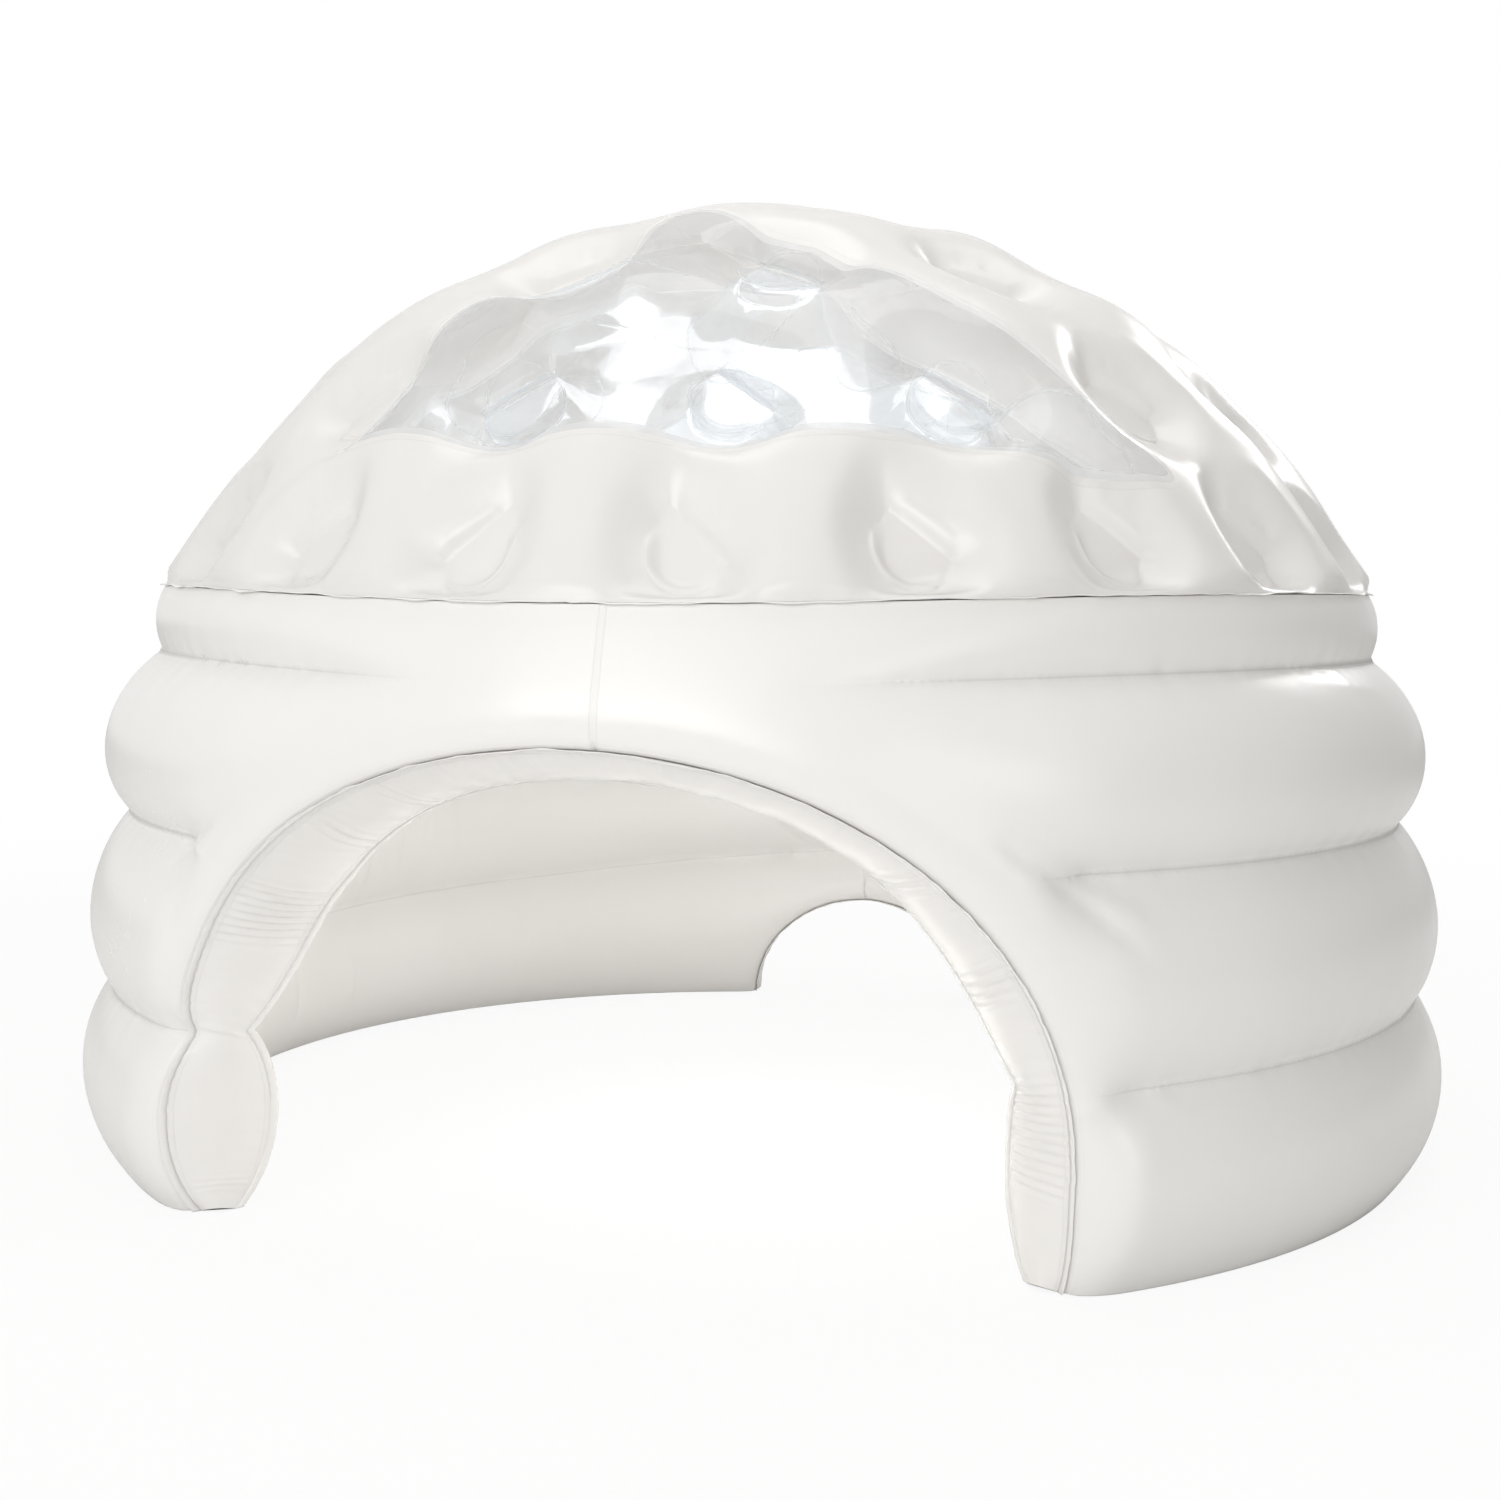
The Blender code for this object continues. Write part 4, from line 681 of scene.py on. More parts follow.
# Inner wall: two panels of the same film, which bulge inwards in the same rings. They are what one sees
# through the front arch and the windows.
INNER_FOLDS = ((-121.3, 0.406, -121.3, 0.313, 0.006, 0.0024), (-117.0, 0.400, -116.5, 0.330, 0.007, -0.0020),
               (-112.0, 0.379, -112.0, 0.287, 0.006, 0.0026), (-106.5, 0.352, -106.8, 0.267, 0.006, 0.0024),
               (-99.5, 0.308, -99.8, 0.240, 0.006, 0.0020), (-104.0, 0.168, -104.0, 0.070, 0.008, 0.0020),
               (-93.0, 0.160, -93.5, 0.060, 0.009, -0.0020), (-172.0, 0.300, -168.0, 0.340, 0.006, -0.0024),
               (-174.0, 0.285, -177.0, 0.250, 0.006, 0.0022), (-170.0, 0.285, -166.0, 0.262, 0.007, -0.0020),
               (170.0, 0.290, 166.0, 0.330, 0.007, -0.0020))
inner_skin_film = white_film("white_film_of_the_room", (0.864, 0.855, 0.841), wall_marks)
wall_panels(INNER, "inner", (20, 20, 20, 8), INNER_FOLDS, inner_skin_film, [])

# Webs: flat rings of film inside the wall, welded to both skins at the creases. They are out of sight, so
# their solids show as they are.
web_film = white_film("white_film_of_the_webs", (0.85, 0.84, 0.82))
for name in ("lower_ring_web", "upper_ring_web", "collar_web"):
    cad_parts[name].data.materials[0] = web_film

# Front arch: a strip of film that joins the edges of the two skins and is gathered into cross wrinkles, as it
# has to bend. It is welded to both skins in a flange 12 mm wide, which stands off the edge like a hem.
STRIP_PUFF = 0.011
STRIP_WIDTH = 0.1
HEM_WIDTH = 0.0117
# The section of a hem: shares of its width and of half its thickness
HEM_SECTION = ((0.0, 1), (0.5, 1), (0.93, 1), (1.0, 0), (0.93, -1), (0.5, -1), (0.0, -1))


def arch_edges(arch, legs, steps):
    """Places of an arch's outline in both skins, the smallest gap inside them."""
    edges = []
    for skin in (OUTER, INNER):
        curve = arch.outline(skin, legs, steps)
        radius = wall_radius(curve[:, 0] / CHART_RADIUS, curve[:, 1], skin)
        edges.append(settled(around(curve[:, 0] / CHART_RADIUS, radius, curve[:, 1])))
    return edges


def unit(vectors):
    return vectors / np.maximum(np.linalg.norm(vectors, axis=-1, keepdims=True), 1e-9)


def arch_strip(name, arch, legs, steps, across, wrinkle, material, node):
    """The lining of an arch, gathered by a wrinkle field over its length and width. Gives both its edges."""
    outer, inner = arch_edges(arch, legs, steps)
    aim = around(arch.middle / CHART_RADIUS, CHART_RADIUS, arch.heights[INNER] / 3)
    centre = (outer + inner) / 2
    chord = unit(inner - outer)
    towards = aim - centre
    towards = unit(towards - (towards * chord).sum(-1, keepdims=True) * chord)
    runs = runs_of(centre)
    s, t = np.meshgrid(runs, np.linspace(0, 1, across), indexing="ij")
    rise = STRIP_PUFF * np.sin(math.pi * t) + wrinkle(s, t)
    between = t[..., None]
    points = outer[:, None] * (1 - between) + inner[:, None] * between + towards[:, None] * rise[..., None]
    points[..., 2] = np.maximum(points[..., 2], FOOT)
    marks = np.stack([s, t, np.minimum(t, 1 - t) * STRIP_WIDTH], -1)
    piece(name, points.reshape(-1, 3), grid_faces(len(runs), across), material, [node],
          attributes={"chart": marks.reshape(-1, 3)})
    return outer, inner


def hem(name, root, outwards, width, material, node, ripple, closed=False):
    """A weld flange: a thin band with a rounded edge that stands off its root and ripples."""
    along = np.roll(root, -1, axis=0) - np.roll(root, 1, axis=0) if closed else np.gradient(root, axis=0)
    side = unit(np.cross(unit(along), outwards))
    runs = runs_of(root)
    sections = []
    for share, level in HEM_SECTION:
        reach, sway = ripple(runs, share)
        lift = level * HEM_THICKNESS / 2 + sway
        sections.append(root + outwards * (width * share * reach)[:, None] + side * lift[:, None])
    points = np.stack(sections, 1)
    count = len(sections)
    faces = []
    for row in range(len(root) if closed else len(root) - 1):
        here = row * count
        there = ((row + 1) % len(root)) * count
        for k in range(count):
            beyond = (k + 1) % count
            faces.append((here + k, there + k, there + beyond, here + beyond))
    if not closed:
        faces += [tuple(range(count)), tuple(reversed(range((len(root) - 1) * count, len(root) * count)))]
    return piece(name, points.reshape(-1, 3), faces, material, [node])


# Pleats across the front lining: start and end along it from the left foot, pitch, slant and rise
PLEATS = ((0.345, 0.470, 0.0240, 0.004, 0.0026), (0.545, 0.605, 0.0290, 0.022, 0.0022),
          (0.655, 0.715, 0.0320, -0.018, 0.0016), (0.205, 0.260, 0.0360, 0.016, 0.0030),
          (0.010, 0.050, 0.0160, 0.006, 0.0010), (1.270, 1.340, 0.0300, 0.020, 0.0020),
          (1.420, 1.500, 0.0280, -0.020, 0.0024), (1.560, 1.735, 0.0250, -0.006, 0.0024))


def front_wrinkles(s, t):
    """Cross wrinkles of the front lining: gathers that start at the seams, and pleats where it bends."""
    flat = np.stack([s, t], -1)
    # The wrinkles run across, but bow and wander a little along the lining
    bend = rough_noise(flat * (1.0, 0.1), 9.0, 4.0) * 0.035
    lines = np.stack([s + 0.030 * (t - 0.5) ** 2 + bend, t * 0.02], -1)
    coarse = 0.0034 * rough_noise(lines, 23.0, 11.0) * np.sin(math.pi * t) ** 0.5
    fine = 0.0024 * rough_noise(lines, 62.0, 5.0) + 0.0010 * rough_noise(lines, 120.0, 8.0)
    patch = 0.55 + 0.45 * rough_noise(flat * (1.0, 0.05), 5.0, 2.0)
    rise = coarse + patch * (np.exp(-t / 0.22) + np.exp(-(1 - t) / 0.22)) * fine
    for start, end, pitch, slant, height in PLEATS:
        place = s + slant * (t - 0.5) + bend * 0.25
        shown = ease((place - start) / (1.2 * pitch)) * ease((end - place) / (1.2 * pitch))
        wave = np.cos(2 * math.pi * (place - start) / pitch)
        across = np.sin(math.pi * np.clip(t, 0.02, 0.98)) ** 0.35
        rise = rise + height * (1 - 2 * np.abs(wave) ** 0.8) * shown * across
    return rise * ease(np.minimum(t, 1 - t) / 0.05)


def strip_marks(signal):
    """What shows in an arch lining: the weld bands along both seams."""
    chart = attribute(signal, "chart")
    off = chart.axis("Z")
    return 1 - off.step(0.0050, 0.0065), (off - 0.0058).line(0.0011) * 0.25


def hem_ripple(runs, share):
    """Waves of an arch's flange: the share of its width that it reaches, and its sway."""
    places = np.stack([runs, np.zeros(len(runs))], -1)
    slow = rough_noise(places, 14.0, 2.0)
    fast = rough_noise(places, 47.0, 6.0)
    return 0.97 + 0.10 * slow, share ** 2 * (0.0034 * slow + 0.0018 * fast)


strip_film = white_film("white_film_of_the_lining", (0.872, 0.860, 0.842), strip_marks)
hem_film = white_film("white_film_of_the_hems", (0.875, 0.865, 0.848))


def arch_pieces(place, arch, legs, steps, across, wrinkle):
    """An arch's lining and the hems along both its edges."""
    edges = arch_strip(f"{place}_arch_lining", arch, legs, steps, across, wrinkle, strip_film,
                       f"{place}_arch_strip")
    for name, root, side in zip(("outer", "inner"), edges, (1, -1)):
        outwards = unit(root * (1, 1, 0)) * side
        hem(f"{place}_arch_{name}_hem", root + outwards * GAP, outwards, HEM_WIDTH, hem_film,
            f"{place}_arch_{name}_flange", hem_ripple)


arch_pieces("front", FRONT, 66, 640, 30, front_wrinkles)

# Rear arch: the same strip and hems round the low opening at the back, through which air and toys pass. Its
# lining is narrower and bends more, so its wrinkles are closer together.


def rear_wrinkles(s, t):
    """Cross wrinkles of the rear lining."""
    flat = np.stack([s + 0.02 * t, t * 0.03], -1)
    rise = 0.0030 * rough_noise(flat, 30.0, 21.0) + 0.0016 * rough_noise(flat, 75.0, 15.0)
    edge = 0.35 + np.exp(-t / 0.25) + np.exp(-(1 - t) / 0.25)
    return rise * edge * ease(np.minimum(t, 1 - t) / 0.06)


arch_pieces("rear", REAR, 4, 190, 26, rear_wrinkles)

# Dome seam: a flange of both films where the dome is welded on the collar, and the film under the dome that
# keeps the wall's air apart from the dome's.
SEAM_HEM_WIDTH = 0.0160
SEAM_INSET = 0.008


def seam_ripple(runs, share):
    """Waves of the dome seam's flange, which meet at its ends."""
    places = circle(runs / OUTER_RADII[-1])
    slow = rough_noise(places, 7.0, 9.0)
    fast = rough_noise(places, 24.0, 12.0)
    return 0.94 + 0.22 * fast, share ** 2 * (0.0034 * slow + 0.0024 * fast)


seam_root = settled(around(whole_turn(900), OUTER_RADII[-1] - SEAM_INSET, SEAM_HEIGHT + FILM))
hem("dome_seam_hem", seam_root, unit(seam_root * (1, 1, 0)), SEAM_HEM_WIDTH, hem_film, "dome_seam_flange",
    seam_ripple, True)
web_turns = whole_turn(240)
inner_rim = settled(around(web_turns, INNER_SEAM_RADIUS, INNER_SEAM_HEIGHT))
outer_rim = settled(around(web_turns, OUTER_RADII[-1] - SEAM_INSET - GAP, SEAM_HEIGHT))
film_ring("dome_base_film", inner_rim, outer_rim, 5, True, web_film, "dome_base_web")

# Dome: two skins of the same white film, drawn together at round weld discs so that the air between them
# forms pillows. Each skin has an opening for a window at the front and one at the back.
DOME_TURN = math.radians(7)
RIM_REACH = DOME_RADIUS * RIM_SLOPE
LOWEST_ROW = RIM_REACH - 0.0699
# Each row of weld discs: its share of the lowest row's reach from the crown, its count and its turn in steps
DISC_ROWS = ((0.987, 20, 0.04), (0.7677, 16, 0.15), (0.4836, 10, 0.24), (0.1833, 4, 0.5))
DISCS = np.array([(LOWEST_ROW * share * math.cos(2 * math.pi * (step + start) / count),
                   LOWEST_ROW * share * math.sin(2 * math.pi * (step + start) / count))
                  for share, count, start in DISC_ROWS for step in range(count)])
# The window's upper edge from its right corner: places across the dome and forward of its crown, in shares of
# the sill's reach
WINDOW_EDGE = ((0.80, 0.74), (0.68, 0.72), (0.55, 0.71), (0.50, 0.66), (0.30, 0.63), (0.18, 0.55),
               (0.03, 0.46), (-0.05, 0.35), (-0.12, 0.37), (-0.18, 0.55), (-0.42, 0.58), (-0.49, 0.68),
               (-0.68, 0.73))
SILL_REACH = LOWEST_ROW - 0.1484
SILL_ENDS = (math.radians(-40), math.radians(41))
SILL_DROP_FROM = math.radians(22)
SILL_DROP = 0.075
DISC_BERTH = 0.074
EDGE_POINTS = 480
PILLOW_REACH = 0.19
PILLOW_SWELL = 0.020
# A dimple as it shows: its round rim, and the chord where the pillow above it folds over it in a brow
DIMPLE_RADIUS = 0.057
BROW_CHORD = 0.025
BROW_STEP = 0.008
BROW_LEAN = math.radians(40)
BROW_FADES = 0.11
LOWER_WALL = 0.012
LIP_RISE = 0.0012
LIP_GROOVE = 0.0010
TIP_PINCH = 0.0022
GATHER_RISE = 0.0006
DOME_MIDDLE = np.array([0.0, 0.0, DOME_CENTRE])
valve_height = SEAM_HEIGHT + 0.088
valve_slope = math.acos((valve_height - DOME_CENTRE) / DOME_RADIUS)
valve_reach = (DOME_RADIUS - SPOT_DEPTH) * math.sin(valve_slope)
DOME_SPOT = Spot(math.radians(157), valve_height - SPOT_DEPTH, valve_reach, math.pi / 2 - valve_slope)
# The rings of mesh points round a disc: radius and count; and the rows of them along its brow
DISC_RINGS = ((0.0, 1), (0.014, 8), (0.026, 16), (0.036, 28), (0.043, 40), (0.048, 50), (0.0525, 60),
              (0.0555, 68), (0.0575, 72), (0.0595, 72), (0.0620, 72), (0.0655, 70), (0.071, 66), (0.079, 62),
              (0.089, 58))
BROW_ROWS = (-0.004, 0.0, 0.0025, 0.005, 0.0075, 0.010, 0.014)
BROW_ROW_STEP = 0.0055
LATTICE_STEP = 0.0115
LATTICE_ROW = LATTICE_STEP * 0.866
LATTICE_BERTH = 0.096


def nearest_disc(chart):
    """Distance to the nearest weld disc, and the direction from it."""
    off = np.hypot(chart[:, None, 0] - DISCS[None, :, 0], chart[:, None, 1] - DISCS[None, :, 1])
    number = np.argmin(off, axis=1)
    return off[np.arange(len(chart)), number], chart - DISCS[number]


def dome_directions(chart):
    """Directions from the dome's middle to places on its chart."""
    slope = np.hypot(*chart.T) / DOME_RADIUS
    turn = np.arctan2(chart[:, 1], chart[:, 0]) + DOME_TURN
    return np.stack([np.sin(slope) * np.sin(turn), -np.sin(slope) * np.cos(turn), np.cos(slope)], -1)


def dome_chart_of(points):
    """Places on the dome's chart of points in space."""
    offset = points - DOME_MIDDLE
    slope = np.arccos(offset[:, 2] / np.linalg.norm(offset, axis=1))
    return DOME_RADIUS * slope[:, None] * circle(np.arctan2(offset[:, 0], -offset[:, 1]) - DOME_TURN)


def brow_angle(disc):
    """The direction from a disc to its brow's middle: towards the crown, but for a lean to one side."""
    outward = np.arctan2(disc[..., 1], disc[..., 0])
    return outward + math.pi - np.where(np.sin(outward) >= 0, 1.0, -1.0) * BROW_LEAN


def dimple_places(chart):
    """For each place and disc: distance, cosine of the angle off the brow, lengths towards it and aside."""
    offset = chart[:, None] - DISCS[None]
    brow = brow_angle(DISCS)
    near = np.hypot(offset[..., 0], offset[..., 1])
    towards = offset[..., 0] * np.cos(brow) + offset[..., 1] * np.sin(brow)
    aside = offset[..., 1] * np.cos(brow) - offset[..., 0] * np.sin(brow)
    return near, towards / np.maximum(near, 1e-6), towards, aside


def dome_depth(chart, skin):
    """How far a skin is drawn in: fully on the discs, less than nought where the pillows swell."""
    near, lean, towards, aside = dimple_places(chart)
    past = np.clip(near - DIMPLE_RADIUS, 0.0, None)
    # The pillow above folds over the pit beyond a chord, less so further from the disc
    fading = 1 - ease(past / BROW_FADES)
    over = np.minimum(near, DIMPLE_RADIUS) * lean - BROW_CHORD
    cap = (over + np.hypot(over, 0.004)) / 2 * fading
    pit = DIMPLE_DEPTH * np.clip(1 - (past + cap) / PILLOW_REACH, 0.0, 1.0) ** 2
    pit = pit - BROW_STEP * ease((cap - 0.001) / 0.018) * fading
    # The pit's lower side is steeper and ends in a small lip
    lower = ease(0.25 - 0.95 * lean)
    pit = pit - LOWER_WALL * ease((near - 0.038) / 0.019) * lower * np.exp(-past / 0.035)
    lip = LIP_RISE * np.exp(-((near - DIMPLE_RADIUS - 0.0015) / 0.0024) ** 2)
    lip = lip - LIP_GROOVE * np.exp(-((near - DIMPLE_RADIUS - 0.0065) / 0.0030) ** 2)
    pit = pit - lip * lower
    # The film is pinched at both ends of the brow, and gathered round the disc
    end = np.abs(aside)
    tip = ease((end - 0.030) / 0.020) * np.exp(-np.clip(end - 0.052, 0.0, None) / 0.014)
    pit = pit + TIP_PINCH * tip * np.exp(-((towards - BROW_CHORD) / 0.007) ** 2)
    turn = np.arctan2(aside, towards)
    phase = 2.1 * np.arange(len(DISCS)) + 1.7 * skin
    gather = np.sin(9 * turn + phase) + 0.7 * np.sin(14 * turn + 2.3 * phase)
    gather = gather + 0.5 * np.sin(23 * turn + phase)
    pit = pit + GATHER_RISE * gather * ease(past / 0.008) * np.exp(-past / 0.020)
    # Between the pits the pillows swell unevenly, and at the seam the skin is held
    least = past.min(1)
    rim = ease((RIM_REACH - np.hypot(*chart.T)) / 0.022)
    slow = rough_noise(chart, 3.4, 13.0 + skin)
    medium = rough_noise(chart, 11.0, 17.0 + skin)
    uneven = (0.0045 * slow + 0.0012 * medium) * ease(least / 0.03)
    deep = np.minimum(pit.sum(1), DIMPLE_DEPTH)
    return (deep - PILLOW_SWELL * ease(least / 0.075) + uneven) * rim


def dome_points(chart, skin):
    """Places of a dome skin in space."""
    way = dome_directions(chart)
    depth = dome_depth(chart, skin)
    if skin == INNER:
        return settled(DOME_MIDDLE + way * (INNER_DOME_RADIUS + depth)[:, None])
    facing = way @ DOME_SPOT.normal
    flat = ((DOME_SPOT.origin - DOME_MIDDLE) @ DOME_SPOT.normal) / np.maximum(facing, 0.5)
    reach = DOME_SPOT.flattened(flat, DOME_RADIUS - depth, DOME_MIDDLE + way * DOME_RADIUS, facing)
    return settled(DOME_MIDDLE + way * reach[:, None])


def evenly(loop, count):
    """A closed loop's points spread evenly along it."""
    closed = np.concatenate([loop, loop[:1]])
    runs = runs_of(closed)
    wanted = np.linspace(0, runs[-1], count, endpoint=False)
    return np.stack([np.interp(wanted, runs, closed[:, k]) for k in (0, 1)], -1)


def window_edge(side):
    """A window's edge on the chart: between its corners, back along the sill, and kept off the discs."""
    turns = np.linspace(*SILL_ENDS, 60)
    share = SILL_REACH * (1 + SILL_DROP * ease((turns - SILL_DROP_FROM) / (SILL_ENDS[1] - SILL_DROP_FROM)))
    sill = share[:, None] * circle(turns)
    upper = np.array(WINDOW_EDGE)[:, ::-1] * SILL_REACH
    loop = evenly(np.concatenate([upper, sill]) * side, EDGE_POINTS)
    for _ in range(40):
        near, away = nearest_disc(loop)
        push = np.maximum(DISC_BERTH - near, 0.0)
        loop = loop + away / near[:, None] * push[:, None]
        for _ in range(4):
            loop = (np.roll(loop, 1, axis=0) + 2 * loop + np.roll(loop, -1, axis=0)) / 4
    return evenly(loop, EDGE_POINTS)


def within(loop, spots):
    """Which spots lie inside a closed loop."""
    count = np.zeros(len(spots), int)
    for (p0, q0), (p1, q1) in zip(loop, np.roll(loop, -1, axis=0)):
        if q0 != q1:
            cross = (q0 > spots[:, 1]) != (q1 > spots[:, 1])
            count += cross & (spots[:, 0] < p0 + (spots[:, 1] - q0) * (p1 - p0) / (q1 - q0))
    return count % 2 == 1


def off_windows(chart, block=4000):
    """Distance of chart places to the nearest window's edge, worked out block by block."""
    near = np.full(len(chart), np.inf)
    for loop in WINDOWS.values():
        along = (np.roll(loop, -1, axis=0) - loop)[None]
        for start in range(0, len(chart), block):
            offset = chart[start:start + block, None, :] - loop[None]
            share = np.clip((offset * along).sum(-1) / (along ** 2).sum(-1), 0.0, 1.0)
            off = np.linalg.norm(offset - share[..., None] * along, axis=-1).min(1)
            near[start:start + block] = np.minimum(near[start:start + block], off)
    return near


WINDOWS = {"front": window_edge(1), "rear": window_edge(-1)}
disc_rings = []
for centre in DISCS:
    for radius, count in DISC_RINGS:
        disc_rings.append(centre + radius * circle(whole_turn(count) + radius * 40))
    upwards = circle(brow_angle(centre))
    along_brow = np.array([-upwards[1], upwards[0]]) * np.arange(-0.066, 0.067, BROW_ROW_STEP)[:, None]
    for rise in BROW_ROWS:
        disc_rings.append(centre + upwards * (BROW_CHORD + rise) + along_brow)
lattice = []
for row in range(-110, 111):
    across = (np.arange(-110, 111) + 0.5 * (row % 2)) * LATTICE_STEP
    lattice.append(np.stack([across, np.full(len(across), row * LATTICE_ROW)], -1))
lattice = np.concatenate(lattice)
lattice = lattice[nearest_disc(lattice)[0] > LATTICE_BERTH]
dome_fill = np.concatenate(disc_rings + [lattice])
dome_fill = dome_fill[np.hypot(*dome_fill.T) < RIM_REACH - 0.028]
dome_fill = dome_fill[off_windows(dome_fill) > 0.004]
rim_circle = circle(whole_turn(560))
rim_rings = [rim_circle * (RIM_REACH - inset) for inset in (0.004, 0.009, 0.015, 0.022)]
dome_fill = np.concatenate([dome_fill] + rim_rings)
rim_loop = rim_circle * RIM_REACH


def dome_marks_at(chart):
    """The attributes that the marks are drawn from."""
    near, lean, towards, aside = dimple_places(chart)
    first = np.arange(len(chart)), np.argmin(near, axis=1)
    return {"disc": np.column_stack([near[first], off_windows(chart), -lean[first]]),
            "brow": np.column_stack([towards[first] - BROW_CHORD, np.abs(aside[first])]),
            "chart": chart}


def dome_marks(signal):
    """What shows in a dome skin: a dark line beyond the lower rim of each dimple, partly its weld ring's edge
    and partly painted shade in the groove under its lip, and the weld band round the windows.
    """
    disc = attribute(signal, "disc")
    lower = disc.axis("Z").step(-0.1, 0.7)
    # Painted shade in the groove under each dimple's lip, on its lower side only; partly the weld ring's edge
    rim = (disc.axis("X") - DIMPLE_RADIUS - 0.0045).line(0.0018) * lower * 0.16
    off_window = disc.axis("Y")
    return 1 - off_window.step(0.0085, 0.0100), rim.most((off_window - 0.0092).line(0.0011) * 0.3)


def dome_piece(name, skin, edge, holes, fill, material, node):
    """One piece of a dome skin within its edge."""
    chart, faces = tiled(edge, holes, fill, 0.0024)
    if skin == INNER:
        faces = [face[::-1] for face in faces]
    piece(name, dome_points(chart, skin), faces, material, [node], attributes=dome_marks_at(chart))


dome_film = white_film("white_film_of_the_dome", (0.895, 0.886, 0.872), dome_marks, 0.22)
ceiling_film = white_film("white_film_of_the_ceiling", (0.900, 0.897, 0.892), dome_marks, 0.36)
skin_fill = dome_fill[~(within(WINDOWS["front"], dome_fill) | within(WINDOWS["rear"], dome_fill))]
skin_holes = list(WINDOWS.values())
neck_hole = dome_chart_of(DOME_SPOT.hole())
dome_piece("outer_dome", OUTER, rim_loop, skin_holes + [neck_hole], skin_fill, dome_film,
           "dome_outer_skin")
dome_piece("inner_dome", INNER, rim_loop, skin_holes, skin_fill, ceiling_film,
           "dome_inner_skin")

# Windows: clear film welded into both skins. It is drawn in at the same discs, and its welded edge is a belt
# of doubled film that lets less light through.


def clear_film(name, tint, haze):
    """Clear PVC film: mostly see-through, with its gloss at glancing angles, hazier on welds."""
    made, signal, shader, output = finish(name)
    disc = attribute(signal, "disc")
    chart = attribute(signal, "chart")
    brow = attribute(signal, "brow")
    # The lines that show in it, as darker haze: the rims of the dimples, partly weld edges and partly painted
    # shade heavier on their lower side, and painted shade along their folded brows and the creases between
    # them
    off = disc.axis("X") - DIMPLE_RADIUS
    belt = 1 - disc.axis("Y").step(0.0095, 0.0115)
    rim = (off - 0.0006).line(0.0030) * (disc.axis("Z").step(-0.3, 0.4) * 0.7 + 0.3)
    fold = (brow.axis("X") - 0.004).line(0.0040) * (1 - brow.axis("Y").step(0.048, 0.064))
    weld = 1 - off.step(-0.0004, 0.0010)
    cloud = chart.grain(5.0, 3.0).step(0.35, 0.65)
    crinkle = (chart.grain(4.5, 1.0, 0.4) - 0.5).line(0.010)
    lines = rim.most(fold).most(crinkle * cloud * 0.6)
    # Its gloss is a mirror's, mixed in by the angle of sight
    shader.inputs["Base Color"].default_value = (0.95, 0.965, 0.98, 1.0)
    shader.inputs["Metallic"].default_value = 1.0
    wire(0.05 + cloud * 0.05, shader, "Roughness")
    bump = (chart.grain(14.0, 2.0) + rim * 0.5 + crinkle * 0.22).relief(0.4, 0.0025)
    wire(bump, shader, "Normal")
    through = signal.node("ShaderNodeBsdfTransparent", (), {"Color": dyed(tint)})
    fresnel = signal.node("ShaderNodeFresnel", (), {"IOR": 1.52, "Normal": bump})
    clear = signal.blend(signal.math("MINIMUM", fresnel * 0.6, 0.38), through, light_of(shader))
    # Its haze is a pale film's, half of it lit from behind
    milky = signal.node("ShaderNodeBsdfPrincipled", (), {"Roughness": 0.3})
    # Painted shade: the lines turn the haze blue-grey
    colour = lines.mix((0.83, 0.88, 0.93, 1.0), (0.56, 0.62, 0.69, 1.0))
    colour = belt.mix(colour, (0.90, 0.885, 0.865, 1.0))
    wire(colour, milky.socket.node, "Base Color")
    lit_through = signal.node("ShaderNodeBsdfTranslucent", (), {"Color": (0.90, 0.94, 0.98, 1.0)})
    share = (haze + cloud * 0.10 + weld * 0.06 + lines * 0.30).most(belt * 0.72)
    wire(signal.blend(share, clear, signal.blend(0.5, milky, lit_through)), output, "Surface")
    return made


for skin, skin_name, haze in ((OUTER, "outer", 0.08), (INNER, "inner", 0.04)):
    film = clear_film(f"clear_film_{skin_name}", (0.982, 0.988, 0.994), haze)
    for place, loop in WINDOWS.items():
        dome_piece(f"{place}_window_{skin_name}", skin, loop, [], dome_fill[within(loop, dome_fill)], film,
                   f"{place}_window_{skin_name}_film")

# Valves: one for the wall's air and one for the dome's. A seat with a neck is welded on the skin. A stopper
# with a one-way rubber flap screws into the neck, and a cap on a tether screws on the stopper's port. All are
# moulded in white plastic, with rubber rings between them.
NECK_RADII = (0.0185, 0.0215)
FLANGE_RADIUS = 0.0375
FLANGE_TOP = 0.0015
FLANGE_GROOVES = (0.0250, 0.0285, 0.0320)
BODY_RADIUS = 0.0177
HEAD_RADIUS = 0.0235
HEAD_TOP = 0.0105
PORT_RADII = (0.0080, 0.0110)
CAP_RADIUS = 0.0145
CAP_NECK = 0.0060
KNOB_RADIUS = 0.0112
GRIP_RIBS = 30
RIB_DEPTH = 0.0005
RIBS_FROM = 0.0105
TETHER_THICK = 0.0012
TETHER_WIDTH = 0.0050
TETHER_LEVEL = 0.0270
STRAP_REACH = 0.0247
STRAP_FOOT = 0.0096
STRAP_END = 0.0082
STRAP_BEND = 0.003
STRAP_BEVEL = 0.0003
AIR_HOLES = 4
AIR_HOLE_RADIUS = 0.0019
AIR_HOLE_REACH = 0.0052
AIR_HOLE_LEVEL = -0.0093
CORNER_RADIUS = 0.0004
CORNER_STEPS = (0.0, 0.25, 0.5, 0.75, 1.0)
